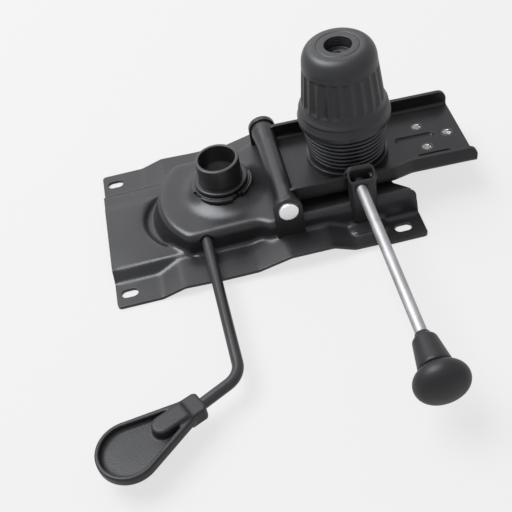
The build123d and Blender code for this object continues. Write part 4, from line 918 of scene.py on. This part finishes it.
scene.collection.objects.link(thread_piece)
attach(thread_piece, "arm")

# %% [markdown]
# The seat plate and the arm are pressed from sheet, and sheet can't be folded into a
# sharp corner: it bends with a radius of about its own thickness, and it flows over the
# die where the dome rises from the skirt. These soft folds catch the lamps as broad
# bands, the clearest mark of pressed steel in the photograph. The cut rims, the slots
# and the holes stay as sharp as they really are. So the first job is to tell a rim from a
# fold: a rim turns strongly, or less so beside a face hardly wider than the sheet.

# %% Cut rims of the pressed steel
SHEET = 4.0 * MM             # a face this narrow beside a sharp edge is a cut face
RIM_ANGLE = math.radians(66)
SLANTED_RIM_ANGLE = math.radians(38)     # for walls that are cut at a slant
UPRIGHT = 0.25               # least rise of an edge that counts as part of a wall
FACES_DOWN = -0.5            # a face's normal lower than this looks down
RIM_STEP = 0.25 * MM
PAD_REACH = 9.0 * MM         # the pad under the lock housing, round the housing's box
PAD_FOOT = 2.7 * MM          # and between these heights, is drawn and has no cut rim
PAD_HEAD = 12.0 * MM


def width_from(edge, face):
    """How far a face runs from one of its edges."""
    along = (edge.verts[1].co - edge.verts[0].co).normalized()
    ways = [v.co - edge.verts[0].co for v in face.verts]
    return max((w - along * w.dot(along)).length for w in ways)


def tree_of(points):
    """A search tree of points."""
    made = KDTree(len(points))
    for i, point in enumerate(points):
        made.insert(point, i)
    made.balance()
    return made


housing_low, housing_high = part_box("lock_housing")


def in_drawn_pad(point):
    """Whether a point is on the pad that is drawn up round the lock housing's foot."""
    beside = (housing_low.x - PAD_REACH < point.x < housing_high.x + PAD_REACH and
              housing_low.y - PAD_REACH < point.y < housing_high.y + PAD_REACH)
    return beside and PAD_FOOT < point.z < PAD_HEAD


def rim_points(mesh, slanted):
    """Points along the cut rims of a sheet, each with the angle its rim turns by.

    Upright walls may be cut at a slant.
    A sharp edge that faces down is a rim only where the rim of the upper side is one
    sheet away: otherwise it is a fold, seen from below.
    """
    copy = bmesh.new()
    copy.from_mesh(mesh)
    bmesh.ops.remove_doubles(copy, verts=copy.verts, dist=0.01 * MM)
    upper, lower = [], []
    for edge in copy.edges:
        if not edge.is_manifold:
            continue
        narrow = min(width_from(edge, face) for face in edge.link_faces) < SHEET
        start, end = edge.verts[0].co, edge.verts[1].co
        upright = abs(end.z - start.z) > UPRIGHT * (end - start).length
        turn = edge.calc_face_angle_signed(0)
        if turn < (slanted if narrow and upright else max(RIM_ANGLE, slanted)):
            continue
        count = max(1, round((end - start).length / RIM_STEP))
        points = [(start.lerp(end, k / count), turn) for k in range(count + 1)]
        looks_down = min(face.normal.z for face in edge.link_faces) < FACES_DOWN
        (lower if looks_down else upper).append(points)
    copy.free()
    kept = [(point, turn) for points in upper for point, turn in points if not in_drawn_pad(point)]
    above = tree_of([point for point, _ in kept])
    for points in lower:
        if above.find(points[len(points) // 2][0])[2] < SHEET:
            kept += points
    return kept


print("drawn pad: within", round(PAD_REACH / MM, 1), "mm of the housing")

# %% [markdown]
# The CAD pieces have crisp folds, so each gets a softened copy. The Remesh modifier lays
# an even mesh of small faces over the piece, the points near a rim are pulled onto it and
# the others onto the CAD surface. Then every point is drawn towards the middle of its
# neighbours, again and again, the less so the closer it is to a rim. A Bevel modifier
# would be lighter, but it needs clean edges, and a mesh from CAD has thin triangles.

# %% Softened copies of the pressed steel
SHARP_ANGLE = math.radians(38)
SMOOTHING = 0.5              # share of the way to its neighbours' middle that a point goes
RIM_KEPT = 1.0 * MM          # nothing moves this close to a cut rim
RIM_FREE = 4.0 * MM          # and everything does from here on
RIM_CATCH = 0.8              # share of a small face from which a point is pulled onto the rim
ACUTE = math.radians(112)    # a rim that turns more than this is thin like a blade
ACUTE_CATCH = 1.7            # and the even mesh ends short of it, so it pulls from further off


def softened_copy(name, node, voxel, passes, body, material, slanted=RIM_ANGLE):
    """An even, softened mesh that stands for a CAD node."""
    holder = bpy.data.objects.new(name + "_maker", nodes[node].data.copy())
    scene.collection.objects.link(holder)
    even = holder.modifiers.new("even", "REMESH")
    even.mode = "VOXEL"
    even.voxel_size = voxel
    evaluated = holder.evaluated_get(bpy.context.evaluated_depsgraph_get())
    mesh = bpy.data.meshes.new_from_object(evaluated)
    bpy.data.objects.remove(holder)

    rims = rim_points(nodes[node].data, slanted)
    near = tree_of([point for point, _ in rims])
    count = len(mesh.vertices)
    place = np.empty(count * 3)
    mesh.vertices.foreach_get("co", place)
    place = place.reshape(-1, 3)
    skin_tree = BVHTree.FromObject(nodes[node], bpy.context.evaluated_depsgraph_get())
    away = np.empty(count)
    for i in range(count):
        rim, index, away[i] = near.find(place[i]) if rims else (None, None, RIM_FREE)
        catch = ACUTE_CATCH if rims and rims[index][1] > ACUTE else RIM_CATCH
        place[i] = rim if away[i] < catch * voxel else skin_tree.find_nearest(place[i])[0]
    free = np.clip((away - RIM_KEPT) / (RIM_FREE - RIM_KEPT), 0, 1)[:, None]
    pairs = np.empty(len(mesh.edges) * 2, dtype=np.int32)
    mesh.edges.foreach_get("vertices", pairs)
    one, other = pairs.reshape(-1, 2).T
    ends = np.concatenate((one, other))
    starts = np.concatenate((other, one))
    joined = np.bincount(ends, minlength=count)[:, None]
    for _ in range(passes):
        middle = np.stack([np.bincount(ends, place[starts, k], count) for k in range(3)], axis=1) / joined
        place += (middle - place) * SMOOTHING * free
    mesh.vertices.foreach_set("co", place.ravel())
    mesh.update()
    mesh.shade_smooth()
    mesh.set_sharp_from_angle(angle=SHARP_ANGLE)
    mesh.materials.clear()
    mesh.materials.append(material)
    piece = bpy.data.objects.new(name, mesh)
    scene.collection.objects.link(piece)
    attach(piece, body)
    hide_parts(node)
    print("piece:", name, len(mesh.polygons), "faces,", len(rims), "rim points")


softened_copy("pressed_plate", "seat_plate", 1.03 * MM, 19, "plate", plate_enamel,
              slanted=SLANTED_RIM_ANGLE)
softened_copy("pressed_arm", "tilt_arm", 0.8 * MM, 16, "arm", shaded_arm_enamel)

# %% [markdown]
# The paddle and the lock knob are moulded without a sharp edge anywhere, and the lock
# housing has a rolled mouth. They get softened copies too, with no rim kept: no edge
# turns by as much as the angle that is asked for here.

# %% Softened copies of the moulded handles and the housing
NO_RIM = math.radians(200)
softened_copy("soft_paddle", "lever_paddle", 0.6 * MM, 9, "lever", soft_plastic, NO_RIM)
softened_copy("soft_lock_knob", "lock_knob", 0.6 * MM, 6, "lock", soft_plastic, NO_RIM)
softened_copy("rolled_housing", "lock_housing", 0.55 * MM, 6, "plate", black_enamel, NO_RIM)
